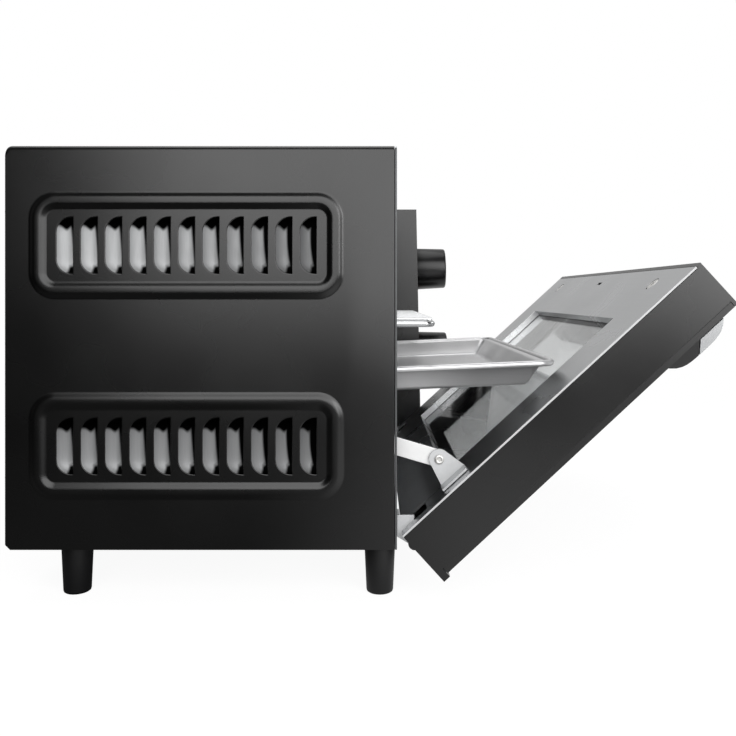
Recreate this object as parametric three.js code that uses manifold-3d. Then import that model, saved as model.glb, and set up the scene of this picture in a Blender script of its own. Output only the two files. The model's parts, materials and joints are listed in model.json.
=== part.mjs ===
// A countertop mini oven, in millimetres, with its door half open and its rack and tray drawn out.
// X runs forwards, Y runs across to the control side, Z runs up from the worktop.
// The cabinet is drawn with X = 0 at its front, Y = 0 at its middle and Z = 0 on the worktop.
import * as THREE from 'three';
import Module from 'manifold-3d';
import { mergeVertices } from 'three/addons/utils/BufferGeometryUtils.js';
import { ConvexGeometry } from 'three/addons/geometries/ConvexGeometry.js';

const wasm = await Module();
wasm.setup();

// Fits
const GAP = 0.3; // between two pieces that touch
const RUN = 0.3; // around a pin or shaft in its hole

// Cabinet
const CABINET_WIDTH = 383;
const CABINET_DEPTH = 196;
const CABINET_HEIGHT = 202.5;
const CONTROL_WIDTH = 95; // what the control panel leaves the door short of the cabinet's width
const SHEET = 1; // thickness of the bent sheet pieces
const CASING_CORNER = 3; // bend along the two long top edges
const CASING_REAR_CORNER = 2.5; // rounding of the rear edge, seen from the side
const BOTTOM_RETURN = 8; // width of the inward fold under the base plate
const REAR_RETURN = 10; // width of the inward fold behind the rear cover

// Louvre groups in both sides of the casing
const LOUVRE_COUNT = 11;
const LOUVRE_PITCH = 12.175;
const LOUVRE_WIDTH = 8.15;
const LOUVRE_HEIGHT = 28.4;
const LOUVRE_CORNER = 7.5; // height of the rounded ends at the rear edge of a louvre
const LOUVRE_DEPTH = 4.2; // how far the front edge is pushed in
const LOUVRE_SKIN = 0.8;
const LOUVRE_REAR_MARGIN = 25.75; // from the cabinet's rear to the first louvre
const UPPER_LOUVRES_DOWN = 50.2; // from the cabinet's top to the middle of a louvre group
const LOWER_LOUVRES_DOWN = 150.6;
const BEAD_WIDTH = 8; // raised ring around each group
const BEAD_HEIGHT = 1.9;
const BEAD_CREST = 3;
const BEAD_CORNER = 9;
const BEAD_MARGIN_SIDE = 9.5; // from the outermost louvre to the middle of the ring
const BEAD_MARGIN_END = 8.3;

// Feet
const FOOT_HEIGHT = 27;
const FOOT_TOP_RADIUS = 8.2;
const FOOT_BOTTOM_RADIUS = 7;
const FOOT_EDGE = 1.5;
const FOOT_NECK_RADIUS = 7;
const FOOT_PLUG_RADIUS = 3;
const FOOT_CLIP = 1.5;
const FOOT_INSET = 18; // from the cabinet's side to the middle of a foot
const FOOT_FRONT_INSET = 8.5;
const FOOT_REAR_INSET = 29.5;

// Cooking cavity
const CAVITY_LEFT_MARGIN = 22.9; // from the cabinet's left side to the inside of the cavity
const CAVITY_FLOOR = 49;
const CAVITY_CEILING = 211;
const CAVITY_DEPTH = 179;
const LEDGE_REACH = 6;
const LEDGE_THICKNESS = 1.2;
const LEDGE_FRONT = 3; // how far behind the cabinet's front the runners begin

// Heating tubes
const TUBE_RADIUS = 3.3;
const TUBE_COLLAR_RADIUS = 6;
const TUBE_COLLAR_LENGTH = 3;
const TUBE_STUD_RADIUS = 2;
const TUBE_STUD_LENGTH = 7;
const TUBE_FRONT_X = -60;
const TUBE_REAR_X = -125;
const UPPER_TUBE_DROP = 13; // below the cavity's ceiling
const LOWER_TUBE_RISE = 14; // above the cavity's floor

// Rear and base
const SCREW_HEAD_RADIUS = 3.2;
const SCREW_HEAD_HEIGHT = 1.8;
const SCREW_RADIUS = 1.8;
const SCREW_LENGTH = 8;
const REAR_SCREW_INSET = 6;
const REAR_SCREW_HIGH = 196.5;
const REAR_SCREW_LOW = 62.3;
const REAR_VENT_COUNT = 10;
const REAR_VENT_PITCH = 12;
const REAR_VENT_WIDTH = 4;
const REAR_VENT_HEIGHT = 26;
const BASE_VENT_COUNT = 7;
const BASE_VENT_PITCH = 26;
const BASE_VENT_WIDTH = 5;
const BASE_VENT_LENGTH = 34;
const INLET_INSET = 41.5; // from the cabinet's right side
const INLET_Z = 52;
const INLET_BORE_RADIUS = 3.6;
const INLET_NECK_RADIUS = 6.6;
const INLET_FLANGE_RADIUS = 9;
const INLET_FLANGE = 1.8;

// Door, drawn closed and then turned open about its pivot
const DOOR_HEIGHT = 202.4;
const DOOR_BOTTOM = 27.6;
const DOOR_STANDOFF = 1; // from the cabinet's front to the door's inner face
const DOOR_DEPTH_BOTTOM = 29.2;
const DOOR_DEPTH_TOP = 27.9;
const DOOR_WALL = 1.6;
const DOOR_OPEN_DEG = 47.5;
const LINER = 1;
const LINER_TOP_STEP = 3; // how far the liner stops short of the door's top
const FRONT_GLASS = 3;
const INNER_GLASS = 3;
const BOTTOM_LIP_HEIGHT = 4;
const BOTTOM_LIP_PROUD = 2;
const TOP_LIP_HEIGHT = 2;
const WINDOW_SIDE_MARGIN = 39;
const WINDOW_LOW = 32.6;
const FRONT_WINDOW_LOW = 37; // lower edge of the opening behind the front glass
const FRONT_WINDOW_HIGH = 180.5;
const WINDOW_HIGH = 159.5;
const WINDOW_RETURN = 4.5; // depth of the fold around the window
const GLASS_LAP = 5; // how far the inner glass reaches past the window
const LATCH_SLOT_WIDTH = 8;
const LATCH_SLOT_HEIGHT = 2.5;
const LATCH_SLOT_UP = 190;

// Hinges
const PIVOT_OFFSET = 8.05; // from the door's inner face out to the pivot
const PIVOT_UP = 1.45; // from the door's bottom up to the pivot
const PIN_RADIUS = 1.6;
const PIN_LENGTH = 13.2;
const EAR_THICKNESS = 1.5;
const EAR_RADIUS = 3.3;
const EAR_INSET = 8.5; // from the cabinet's side to the outside of the hinge ear
const LEAF_WIDTH = 12;
const LEAF_THICKNESS = 1.2;
const LEAF_BOTTOM = 31;
const LEAF_TOP = 42;
const HINGE_CUT_UP = 17.5; // height of the liner's hinge cut above the door's bottom
const HINGE_CUT_WIDTH = 15;
const BOSS_THICKNESS = 4.6;

// Door arm
const ARM_SIDE = -1; // the left
const ARM_INSET = 18.9; // from the cabinet's side to the outside of the arm
const ARM_THICKNESS = 1.5;
const ARM_WIDTH = 9.2;
const ARM_LENGTH = 106;
const ARM_SLOPE_DEG = 16.3;
const ARM_SLOT_START = 40;
const ARM_SLOT_END = 98;
const ARM_SLOT_WIDTH = 4.4;
const RIVET_RADIUS = 1.6;
const RIVET_HEAD_RADIUS = 2.5;
const RIVET_HEAD = 0.8;
const RIVET_OUT = 12.1; // from the liner's face to the rivet
const RIVET_UP = 38.2;
const ARM_BRACKET_LOW = 29.5;
const ARM_BRACKET_HIGH = 46;
const ARM_BRACKET_RADIUS = 5.4;
const ARM_BRACKET_FLANGE = 9;
const ARM_POCKET_LOW = 54; // opening in the front frame that the arm passes through
const ARM_POCKET_HIGH = 82;

// Handle
const HANDLE_LOW = 160.5; // up the door
const HANDLE_HIGH = 199.9;
const HANDLE_PROUD = 14.1;
const HANDLE_BULGE = 5.5; // how much of that the curve of the front takes
const HANDLE_SPLIT = 183; // where the black grip meets the bright trim, at the handle's back
const HANDLE_SPLIT_DROP = 5.9; // how much lower they meet at the handle's front
const HANDLE_END_INSET = 25; // from the door's side to the handle's end
const HANDLE_FOOT_WIDTH = 24;
const HANDLE_GRIP_THICKNESS = 5.6;
const HANDLE_SCREW_UP = 187.5;
const HANDLE_SCREW_RADIUS = 2;
const HANDLE_SCREW_HEAD_RADIUS = 4.1;
const HANDLE_SCREW_REACH = 6; // into the handle's foot
const HANDLE_BOSS_RADIUS = 6;

// Wire rack
const RACK_PLAY = 2.1; // between the rack and a side wall of the cavity
const RACK_DEPTH = 165;
const RACK_FRONT = 21.5; // in front of the cabinet
const RACK_LEVEL = 139;
const RACK_FRAME_RADIUS = 1.75;
const RACK_WIRE_RADIUS = 1.2;
const RACK_WIRE_COUNT = 14;
const RACK_CORNER = 5;

// Baking tray
const TRAY_PLAY = 2.1; // between the tray and a side wall of the cavity
const TRAY_LENGTH = 162;
const TRAY_FRONT = 86.5; // in front of the cabinet
const TRAY_RIM_LEVEL = 114.6; // at the cabinet's front
const TRAY_TILT_DEG = 2.4;
const TRAY_SHEET = 0.9;
const TRAY_DEPTH = 11.3;
const TRAY_CORNER = 11;
const TRAY_FLANGE = 6;
const TRAY_FLARE = 8;
const TRAY_ROLL_RADIUS = 1.8;

// Crumb tray
const CRUMB_SHEET = 0.8;
const CRUMB_RIM = 3;
const CRUMB_PULL_HEIGHT = 8;

// Control panel
const PANEL_GAP = 0.8; // between the door and the panel
const PANEL_BOTTOM = 28.1;
const PANEL_HEIGHT = 201.2;
const PANEL_DEPTH_BOTTOM = 29;
const PANEL_DEPTH_TOP = 25;
const PANEL_WALL = 2;
const PANEL_FRONT_WALL = 2.5;
const COMPARTMENT_MARGIN = 5;
const HEAT_SHIELD_MARGIN = 18.4; // from the cavity's right wall to the heat shield
const KNOB_HIGH = 179;
const KNOB_LOW = 101.7;
const KNOB_BASE_RADIUS = 19;
const KNOB_FRONT_RADIUS = 17.9;
const KNOB_DEPTH = 27;
const KNOB_STANDOFF = 0.7;
const KNOB_EDGE = 1.2;
const KNOB_POINTER_WIDTH = 1.6;
const KNOB_POINTER_DEPTH = 0.8;
const SHAFT_RADIUS = 3;
const SHAFT_FLAT = 2; // from the shaft's axis to its flat
const SHAFT_IN_KNOB = 15;
const SHAFT_IN_BODY = 8;
const TIMER_SIZE = 42;
const TIMER_DEPTH = 34;
const THERMOSTAT_SIZE = 30;
const THERMOSTAT_DEPTH = 22;
const LENS_UP = 140;
const LENS_RADIUS = 4.5;
const LENS_STEM_RADIUS = 3.4;
const LENS_STEM = 9;
const LENS_PROUD = 1.8;
const TERMINAL_LENGTH = 40;
const TERMINAL_WIDTH = 18;
const TERMINAL_HEIGHT = 14;
const TERMINAL_INSET = 76; // from the cabinet's rear

// Places worked out from those sizes
const LEFT = -CABINET_WIDTH / 2;
const DOOR_WIDTH = CABINET_WIDTH - CONTROL_WIDTH;
const CAVITY_WIDTH = DOOR_WIDTH - 2 * CAVITY_LEFT_MARGIN;
const RACK_WIDTH = CAVITY_WIDTH - 2 * RACK_PLAY;
const TRAY_WIDTH = CAVITY_WIDTH - 2 * TRAY_PLAY;
const RIGHT = CABINET_WIDTH / 2;
const BACK = -CABINET_DEPTH;
const BOTTOM = FOOT_HEIGHT;
const TOP = BOTTOM + CABINET_HEIGHT;
const SKIN_BACK = BACK + SHEET + GAP; // rear face of what stands inside the rear cover
const FRAME_BACK = -SHEET;
const INSIDE_FRONT = FRAME_BACK - GAP;
const CAVITY_LEFT = LEFT + CAVITY_LEFT_MARGIN;
const CAVITY_RIGHT = CAVITY_LEFT + CAVITY_WIDTH;
const CAVITY_BACK = FRAME_BACK - CAVITY_DEPTH;
const BASE_TOP = BOTTOM + 2 * SHEET + GAP;
const DOOR_LEFT = LEFT;
const DOOR_RIGHT = LEFT + DOOR_WIDTH;
const DOOR_MIDDLE = (DOOR_LEFT + DOOR_RIGHT) / 2;
const PIVOT_X = DOOR_STANDOFF + PIVOT_OFFSET;
const PIVOT_Z = DOOR_BOTTOM + PIVOT_UP;
const DOOR_LEAN = (DOOR_DEPTH_BOTTOM - DOOR_DEPTH_TOP) / DOOR_HEIGHT;
const PANEL_LEFT = DOOR_RIGHT + PANEL_GAP;
const PANEL_MIDDLE = (PANEL_LEFT + RIGHT) / 2;
const PANEL_LEAN = Math.atan((PANEL_DEPTH_BOTTOM - PANEL_DEPTH_TOP) / PANEL_HEIGHT);
const TRAY_TILT = THREE.MathUtils.degToRad(TRAY_TILT_DEG);
const CAVITY_MIDDLE = (CAVITY_LEFT + CAVITY_RIGHT) / 2;
const HINGE_CUT_START = EAR_INSET - RUN * 4;
const HEAT_SHIELD_Y = CAVITY_RIGHT + HEAT_SHIELD_MARGIN;
const INLET_Y = RIGHT - INLET_INSET;
const TERMINAL_X = BACK + TERMINAL_INSET;

// Solids

// Makes a solid that can be joined and cut from a closed mesh.
function solid(geometry) {
  const bare = new THREE.BufferGeometry();
  bare.setAttribute('position', geometry.getAttribute('position'));
  bare.setIndex(geometry.getIndex());
  const merged = mergeVertices(bare, 1e-4);
  const positions = merged.getAttribute('position');
  const index = merged.getIndex();
  const triangles = [];
  const corners = [new THREE.Vector3(), new THREE.Vector3(), new THREE.Vector3()];
  let volume = 0;
  for (let i = 0; i < index.count; i += 3) {
    const triangle = [index.getX(i), index.getX(i + 1), index.getX(i + 2)];
    if (new Set(triangle).size < 3) continue;
    triangle.forEach((vertex, k) => corners[k].fromBufferAttribute(positions, vertex));
    volume += corners[0].dot(corners[1].clone().cross(corners[2]));
    triangles.push(triangle);
  }
  if (volume < 0) triangles.forEach((triangle) => triangle.reverse());
  return new wasm.Manifold(new wasm.Mesh({
    numProp: 3,
    vertProperties: new Float32Array(positions.array),
    triVerts: new Uint32Array(triangles.flat()),
  }));
}

function join(...solids) {
  return solids.reduce((whole, next) => whole.add(next));
}

function cut(base, ...tools) {
  return tools.reduce((rest, tool) => rest.subtract(tool), base);
}

function box(x0, x1, y0, y1, z0, z1) {
  const geometry = new THREE.BoxGeometry(x1 - x0, y1 - y0, z1 - z0);
  geometry.translate((x0 + x1) / 2, (y0 + y1) / 2, (z0 + z1) / 2);
  return solid(geometry);
}

// Where an outline's two coordinates and its thickness point.
const OUTLINE_AXES = {
  xy: [[1, 0, 0], [0, 1, 0], [0, 0, 1]],
  xz: [[1, 0, 0], [0, 0, 1], [0, 1, 0]],
  yz: [[0, 1, 0], [0, 0, 1], [1, 0, 0]],
};

// Gives an outline a thickness, from one place to another along the axis that the plane leaves out.
function slab(plane, outline, from, to) {
  const shape = new THREE.Shape(outline.map(([u, v]) => new THREE.Vector2(u, v)));
  const geometry = new THREE.ExtrudeGeometry(shape, { depth: to - from, bevelEnabled: false });
  const [u, v, w] = OUTLINE_AXES[plane].map((axis) => new THREE.Vector3(...axis));
  const turn = new THREE.Matrix4().makeBasis(u, v, w);
  turn.setPosition(w.multiplyScalar(from));
  geometry.applyMatrix4(turn);
  return solid(geometry);
}

// A piece turned on a lathe: pairs of radius and height, from axis to axis, about X, Y or Z.
function turned(profile, axis, [x, y, z], segments = 16) {
  const points = profile.map(([radius, height]) => new THREE.Vector2(radius, height));
  const geometry = new THREE.LatheGeometry(points, segments);
  if (axis === 'x') geometry.rotateZ(-Math.PI / 2);
  if (axis === 'z') geometry.rotateX(Math.PI / 2);
  geometry.translate(x, y, z);
  return solid(geometry);
}

// A plain round bar along X, Y or Z.
function bar(radius, axis, at, length, segments = 12) {
  return turned([[0, 0], [radius, 0], [radius, length], [0, length]], axis, at, segments);
}

// Skins a row of rings that have as many points each; a loop of rings has no ends to cap.
function loft(rings, loop = false) {
  const size = rings[0].length;
  const positions = rings.flat().flatMap((point) => point.toArray());
  const index = [];
  const rows = loop ? rings.length : rings.length - 1;
  for (let row = 0; row < rows; row += 1) {
    const next = (row + 1) % rings.length;
    for (let i = 0; i < size; i += 1) {
      const j = (i + 1) % size;
      index.push(row * size + i, row * size + j, next * size + j);
      index.push(row * size + i, next * size + j, next * size + i);
    }
  }
  const last = (rings.length - 1) * size;
  for (let i = 1; !loop && i < size - 1; i += 1) {
    index.push(0, i + 1, i);
    index.push(last, last + i, last + i + 1);
  }
  const geometry = new THREE.BufferGeometry();
  geometry.setAttribute('position', new THREE.Float32BufferAttribute(positions, 3));
  geometry.setIndex(index);
  return solid(geometry);
}

// Outlines

// Part of a circle, from one angle to another in quarter turns, as a list of points.
function arc(u, v, radius, from, to, steps) {
  const points = [];
  for (let i = 0; i <= steps; i += 1) {
    const angle = (from + ((to - from) * i) / steps) * (Math.PI / 2);
    points.push([u + radius * Math.cos(angle), v + radius * Math.sin(angle)]);
  }
  return points;
}

function roundedRectangle(u0, u1, v0, v1, radius, steps = 3) {
  return [
    ...arc(u1 - radius, v0 + radius, radius, 3, 4, steps),
    ...arc(u1 - radius, v1 - radius, radius, 0, 1, steps),
    ...arc(u0 + radius, v1 - radius, radius, 1, 2, steps),
    ...arc(u0 + radius, v0 + radius, radius, 2, 3, steps),
  ];
}

// Casing

// The outline of one louvre: straight at the front edge, rounded at the rear.
function louvreOutline(rear, middle, spread) {
  const front = rear + LOUVRE_WIDTH;
  const half = LOUVRE_HEIGHT / 2 + spread;
  const reach = LOUVRE_WIDTH * 0.95 + spread;
  const steps = 3;
  const points = [[front, middle - half], [front, middle + half]];
  for (const end of [1, -1]) {
    for (let i = 0; i <= steps; i += 1) {
      const turn = ((end > 0 ? i : steps - i) / steps) * (Math.PI / 2);
      const x = rear - spread + reach * (1 - Math.sin(turn));
      points.push([x, middle + end * (half - LOUVRE_CORNER * (1 - Math.cos(turn)))]);
    }
  }
  return points;
}

// The wedge between a louvre's outline and its front edge, which is pushed in to the given depth.
function louvreWedge(side, rear, middle, spread, start, depth) {
  const points = [];
  for (const [x, z] of louvreOutline(rear, middle, spread)) {
    points.push(new THREE.Vector3(x, side * (RIGHT - start), z));
    points.push(new THREE.Vector3(x, side * (RIGHT - SHEET * 0.6), z));
  }
  const half = LOUVRE_HEIGHT / 2 - LOUVRE_CORNER * 0.6 + spread;
  for (const end of [-1, 1]) {
    const deep = side * (RIGHT - depth);
    points.push(new THREE.Vector3(rear + LOUVRE_WIDTH, deep, middle + end * half));
    const shallow = side * (RIGHT - depth * 0.85);
    points.push(new THREE.Vector3(rear + LOUVRE_WIDTH * 0.45, shallow, middle + end * half * 0.7));
  }
  return solid(new ConvexGeometry(points));
}

// A louvre's mouth behind the sheet, where it opens towards the front.
function louvreMouth(side, rear, middle) {
  const half = LOUVRE_HEIGHT / 2 - LOUVRE_CORNER * 0.7;
  const front = rear + LOUVRE_WIDTH;
  const edges = [side * (RIGHT - SHEET * 1.15), side * (RIGHT - LOUVRE_DEPTH)].sort((a, b) => a - b);
  return box(front - LOUVRE_SKIN, front + LOUVRE_SKIN, ...edges, middle - half, middle + half);
}

function louvreGroup(side, middle) {
  const scoops = [];
  const openings = [];
  for (let i = 0; i < LOUVRE_COUNT; i += 1) {
    const rear = BACK + LOUVRE_REAR_MARGIN + i * LOUVRE_PITCH;
    const deep = LOUVRE_DEPTH + LOUVRE_SKIN;
    scoops.push(louvreWedge(side, rear, middle, LOUVRE_SKIN, SHEET * 0.5, deep));
    openings.push(louvreWedge(side, rear, middle, 0, -SHEET, LOUVRE_DEPTH));
    openings.push(louvreMouth(side, rear, middle));
  }
  return { scoops, openings };
}

// The raised ring around a group of louvres.
function bead(side, middle) {
  const rear = BACK + LOUVRE_REAR_MARGIN - BEAD_MARGIN_SIDE;
  const span = (LOUVRE_COUNT - 1) * LOUVRE_PITCH + LOUVRE_WIDTH;
  const front = BACK + LOUVRE_REAR_MARGIN + span + BEAD_MARGIN_SIDE;
  const half = LOUVRE_HEIGHT / 2 + BEAD_MARGIN_END;
  const ring = (out, proud) => {
    const outline = roundedRectangle(
      rear - out, front + out, middle - half - out, middle + half + out, BEAD_CORNER + out, 4,
    );
    return outline.map(([x, z]) => new THREE.Vector3(x, side * (RIGHT + proud), z));
  };
  const foot = -SHEET / 2;
  return loft([
    ring(BEAD_WIDTH / 2, foot),
    ring(BEAD_WIDTH / 2, 0),
    ring(BEAD_CREST / 2, BEAD_HEIGHT),
    ring(-BEAD_CREST / 2, BEAD_HEIGHT),
    ring(-BEAD_WIDTH / 2, 0),
    ring(-BEAD_WIDTH / 2, foot),
  ], true);
}

function outerCasing() {
  const wrap = [
    [LEFT, BOTTOM],
    ...arc(LEFT + CASING_CORNER, TOP - CASING_CORNER, CASING_CORNER, 2, 1, 3),
    ...arc(RIGHT - CASING_CORNER, TOP - CASING_CORNER, CASING_CORNER, 1, 0, 3),
    [RIGHT, BOTTOM],
    [RIGHT - BOTTOM_RETURN, BOTTOM],
    [RIGHT - BOTTOM_RETURN, BOTTOM + SHEET],
    [RIGHT - SHEET, BOTTOM + SHEET],
    ...arc(RIGHT - CASING_CORNER, TOP - CASING_CORNER, CASING_CORNER - SHEET, 0, 1, 3),
    ...arc(LEFT + CASING_CORNER, TOP - CASING_CORNER, CASING_CORNER - SHEET, 1, 2, 3),
    [LEFT + SHEET, BOTTOM + SHEET],
    [LEFT + BOTTOM_RETURN, BOTTOM + SHEET],
    [LEFT + BOTTOM_RETURN, BOTTOM],
  ];
  const sideView = [
    [INSIDE_FRONT, BOTTOM],
    [INSIDE_FRONT, TOP],
    ...arc(BACK + CASING_REAR_CORNER, TOP - CASING_REAR_CORNER, CASING_REAR_CORNER, 1, 2, 3),
    [BACK, BOTTOM + CASING_REAR_CORNER],
    [BACK + CASING_REAR_CORNER, BOTTOM],
  ];
  let casing = slab('yz', wrap, BACK, INSIDE_FRONT).intersect(slab('xz', sideView, LEFT, RIGHT));
  const openings = [];
  for (const side of [-1, 1]) {
    const edges = [side * (RIGHT - SHEET), side * (RIGHT - REAR_RETURN)].sort((a, b) => a - b);
    const fold = box(SKIN_BACK, SKIN_BACK + SHEET, ...edges, BOTTOM + SHEET, TOP - SHEET);
    casing = join(casing, fold);
    for (const down of [UPPER_LOUVRES_DOWN, LOWER_LOUVRES_DOWN]) {
      const group = louvreGroup(side, TOP - down);
      casing = join(casing, bead(side, TOP - down), ...group.scoops);
      openings.push(...group.openings);
    }
    for (const z of [REAR_SCREW_HIGH, REAR_SCREW_LOW]) {
      const y = side * (RIGHT - REAR_SCREW_INSET);
      openings.push(bar(SCREW_RADIUS + RUN, 'x', [SKIN_BACK - SHEET, y, z], SHEET * 3));
    }
  }
  return cut(casing, ...openings);
}

// Rear, base and feet

function rearCover() {
  const inset = SHEET + GAP;
  const outline = roundedRectangle(LEFT + inset, RIGHT - inset, BOTTOM + inset, TOP - inset, 2, 2);
  const cover = slab('yz', outline, BACK, BACK + SHEET);
  const vents = [];
  for (const middle of [CAVITY_MIDDLE, PANEL_MIDDLE]) {
    const count = middle === PANEL_MIDDLE ? REAR_VENT_COUNT / 2 : REAR_VENT_COUNT;
    for (let i = 0; i < count; i += 1) {
      const y = middle + (i - (count - 1) / 2) * REAR_VENT_PITCH;
      const high = TOP - UPPER_LOUVRES_DOWN + REAR_VENT_HEIGHT / 2;
      const half = REAR_VENT_WIDTH / 2;
      const vent = roundedRectangle(y - half, y + half, high - REAR_VENT_HEIGHT, high, half * 0.99, 2);
      vents.push(slab('yz', vent, BACK - SHEET, BACK + 2 * SHEET));
    }
  }
  for (const { y, z } of rearScrewPlaces()) {
    vents.push(bar(SCREW_RADIUS + RUN, 'x', [BACK - SHEET, y, z], 3 * SHEET));
  }
  vents.push(bar(INLET_NECK_RADIUS + GAP, 'x', [BACK - SHEET, INLET_Y, INLET_Z], 3 * SHEET, 16));
  return cut(cover, ...vents);
}

function rearScrewPlaces() {
  const y = RIGHT - REAR_SCREW_INSET;
  return [
    { name: 'upper_left', y: -y, z: REAR_SCREW_HIGH },
    { name: 'lower_left', y: -y, z: REAR_SCREW_LOW },
    { name: 'upper_right', y, z: REAR_SCREW_HIGH },
    { name: 'lower_right', y, z: REAR_SCREW_LOW },
  ];
}

function rearScrew({ y, z }) {
  const back = BACK - GAP - SCREW_HEAD_HEIGHT;
  const shoulder = SCREW_HEAD_HEIGHT;
  return turned([
    [0, 0],
    [SCREW_HEAD_RADIUS * 0.6, 0],
    [SCREW_HEAD_RADIUS, shoulder * 0.5],
    [SCREW_HEAD_RADIUS, shoulder],
    [SCREW_RADIUS, shoulder],
    [SCREW_RADIUS, shoulder + SCREW_LENGTH],
    [0, shoulder + SCREW_LENGTH],
  ], 'x', [back, y, z], 12);
}

// A soft ring that lines the hole for the supply cord.
function cordInlet() {
  const outer = BACK - GAP - INLET_FLANGE;
  const inner = INLET_FLANGE + SHEET + 2 * GAP;
  return turned([
    [INLET_BORE_RADIUS, 0],
    [INLET_FLANGE_RADIUS, 0],
    [INLET_FLANGE_RADIUS, INLET_FLANGE],
    [INLET_NECK_RADIUS, INLET_FLANGE],
    [INLET_NECK_RADIUS, inner],
    [INLET_FLANGE_RADIUS, inner],
    [INLET_FLANGE_RADIUS, inner + INLET_FLANGE],
    [INLET_BORE_RADIUS, inner + INLET_FLANGE],
    [INLET_BORE_RADIUS, 0],
  ], 'x', [outer, INLET_Y, INLET_Z], 16);
}

function footPlaces() {
  const y = RIGHT - FOOT_INSET;
  const rear = BACK + FOOT_REAR_INSET;
  return [
    { name: 'front_left', x: -FOOT_FRONT_INSET, y: -y },
    { name: 'front_right', x: -FOOT_FRONT_INSET, y },
    { name: 'rear_left', x: rear, y: -y },
    { name: 'rear_right', x: rear, y },
  ];
}

function basePlate() {
  const low = BOTTOM + SHEET + GAP;
  const inset = SHEET + GAP;
  const rear = SKIN_BACK + SHEET + GAP;
  const plate = box(rear, INSIDE_FRONT, LEFT + inset, RIGHT - inset, low, low + SHEET);
  const holes = footPlaces().map(({ x, y }) => (
    bar(FOOT_PLUG_RADIUS + GAP, 'z', [x, y, low - SHEET], 3 * SHEET)
  ));
  for (let i = 0; i < BASE_VENT_COUNT; i += 1) {
    const y = (i - (BASE_VENT_COUNT - 1) / 2) * BASE_VENT_PITCH;
    const long = BASE_VENT_LENGTH / 2;
    const half = BASE_VENT_WIDTH / 2;
    holes.push(box(BACK / 2 - long, BACK / 2 + long, y - half, y + half, low - SHEET, low + 2 * SHEET));
  }
  return cut(plate, ...holes);
}

// A tapered foot with a neck that meets the base plate and a clip that snaps through it.
function foot({ x, y }) {
  const seat = BOTTOM + SHEET;
  const above = seat + 2 * GAP + SHEET;
  return turned([
    [0, 0],
    [FOOT_BOTTOM_RADIUS - FOOT_EDGE, 0],
    [FOOT_BOTTOM_RADIUS - FOOT_EDGE * 0.3, FOOT_EDGE * 0.3],
    [FOOT_BOTTOM_RADIUS, FOOT_EDGE],
    [FOOT_TOP_RADIUS, BOTTOM - GAP],
    [FOOT_NECK_RADIUS, BOTTOM - GAP],
    [FOOT_NECK_RADIUS, seat],
    [FOOT_PLUG_RADIUS, seat],
    [FOOT_PLUG_RADIUS, above],
    [FOOT_PLUG_RADIUS + FOOT_CLIP, above],
    [FOOT_PLUG_RADIUS, above + 2 * FOOT_CLIP],
    [0, above + 2 * FOOT_CLIP],
  ], 'z', [x, y, 0], 20);
}

// Front frame

// The hole beside the cavity that the door arm and its bracket pass through.
function armPocket() {
  const y0 = LEFT + ARM_INSET - ARM_THICKNESS - ARM_BRACKET_FLANGE - 4 * GAP;
  const y1 = LEFT + ARM_INSET + ARM_THICKNESS + 2 * GAP;
  return box(-2 * SHEET, SHEET, y0, y1, ARM_POCKET_LOW, ARM_POCKET_HIGH);
}

// Gives the same place at the door's left (-1) or right (1).
function mirrored(side, y) {
  return side < 0 ? y : 2 * DOOR_MIDDLE - y;
}

function frontFrame() {
  const outline = [
    [LEFT, BOTTOM],
    [RIGHT, BOTTOM],
    ...arc(RIGHT - CASING_CORNER, TOP - CASING_CORNER, CASING_CORNER, 0, 1, 3),
    ...arc(LEFT + CASING_CORNER, TOP - CASING_CORNER, CASING_CORNER, 1, 2, 3),
  ];
  const plate = slab('yz', outline, FRAME_BACK, 0);
  const mouth = box(-2 * SHEET, SHEET, CAVITY_LEFT, CAVITY_RIGHT, CAVITY_FLOOR, CAVITY_CEILING);
  const margin = PANEL_WALL + COMPARTMENT_MARGIN;
  const compartment = box(
    -2 * SHEET, SHEET, PANEL_LEFT + margin, RIGHT - margin, PANEL_BOTTOM + 2 * margin, TOP - 2 * margin,
  );
  return cut(plate, mouth, compartment, armPocket());
}

// Cavity

// A runner along a side wall, which follows the line z = level + slope * x.
function ledge(side, level, slope, thickness) {
  const rear = CAVITY_BACK + GAP;
  const front = -LEDGE_FRONT;
  const wall = side < 0 ? CAVITY_LEFT : CAVITY_RIGHT;
  const outline = [
    [rear, level + slope * rear],
    [front, level + slope * front],
    [front, level + slope * front + thickness],
    [rear, level + slope * rear + thickness],
  ];
  const ends = [wall + side * SHEET * 0.5, wall - side * LEDGE_REACH].sort((a, b) => a - b);
  return slab('xz', outline, ...ends);
}

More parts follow.
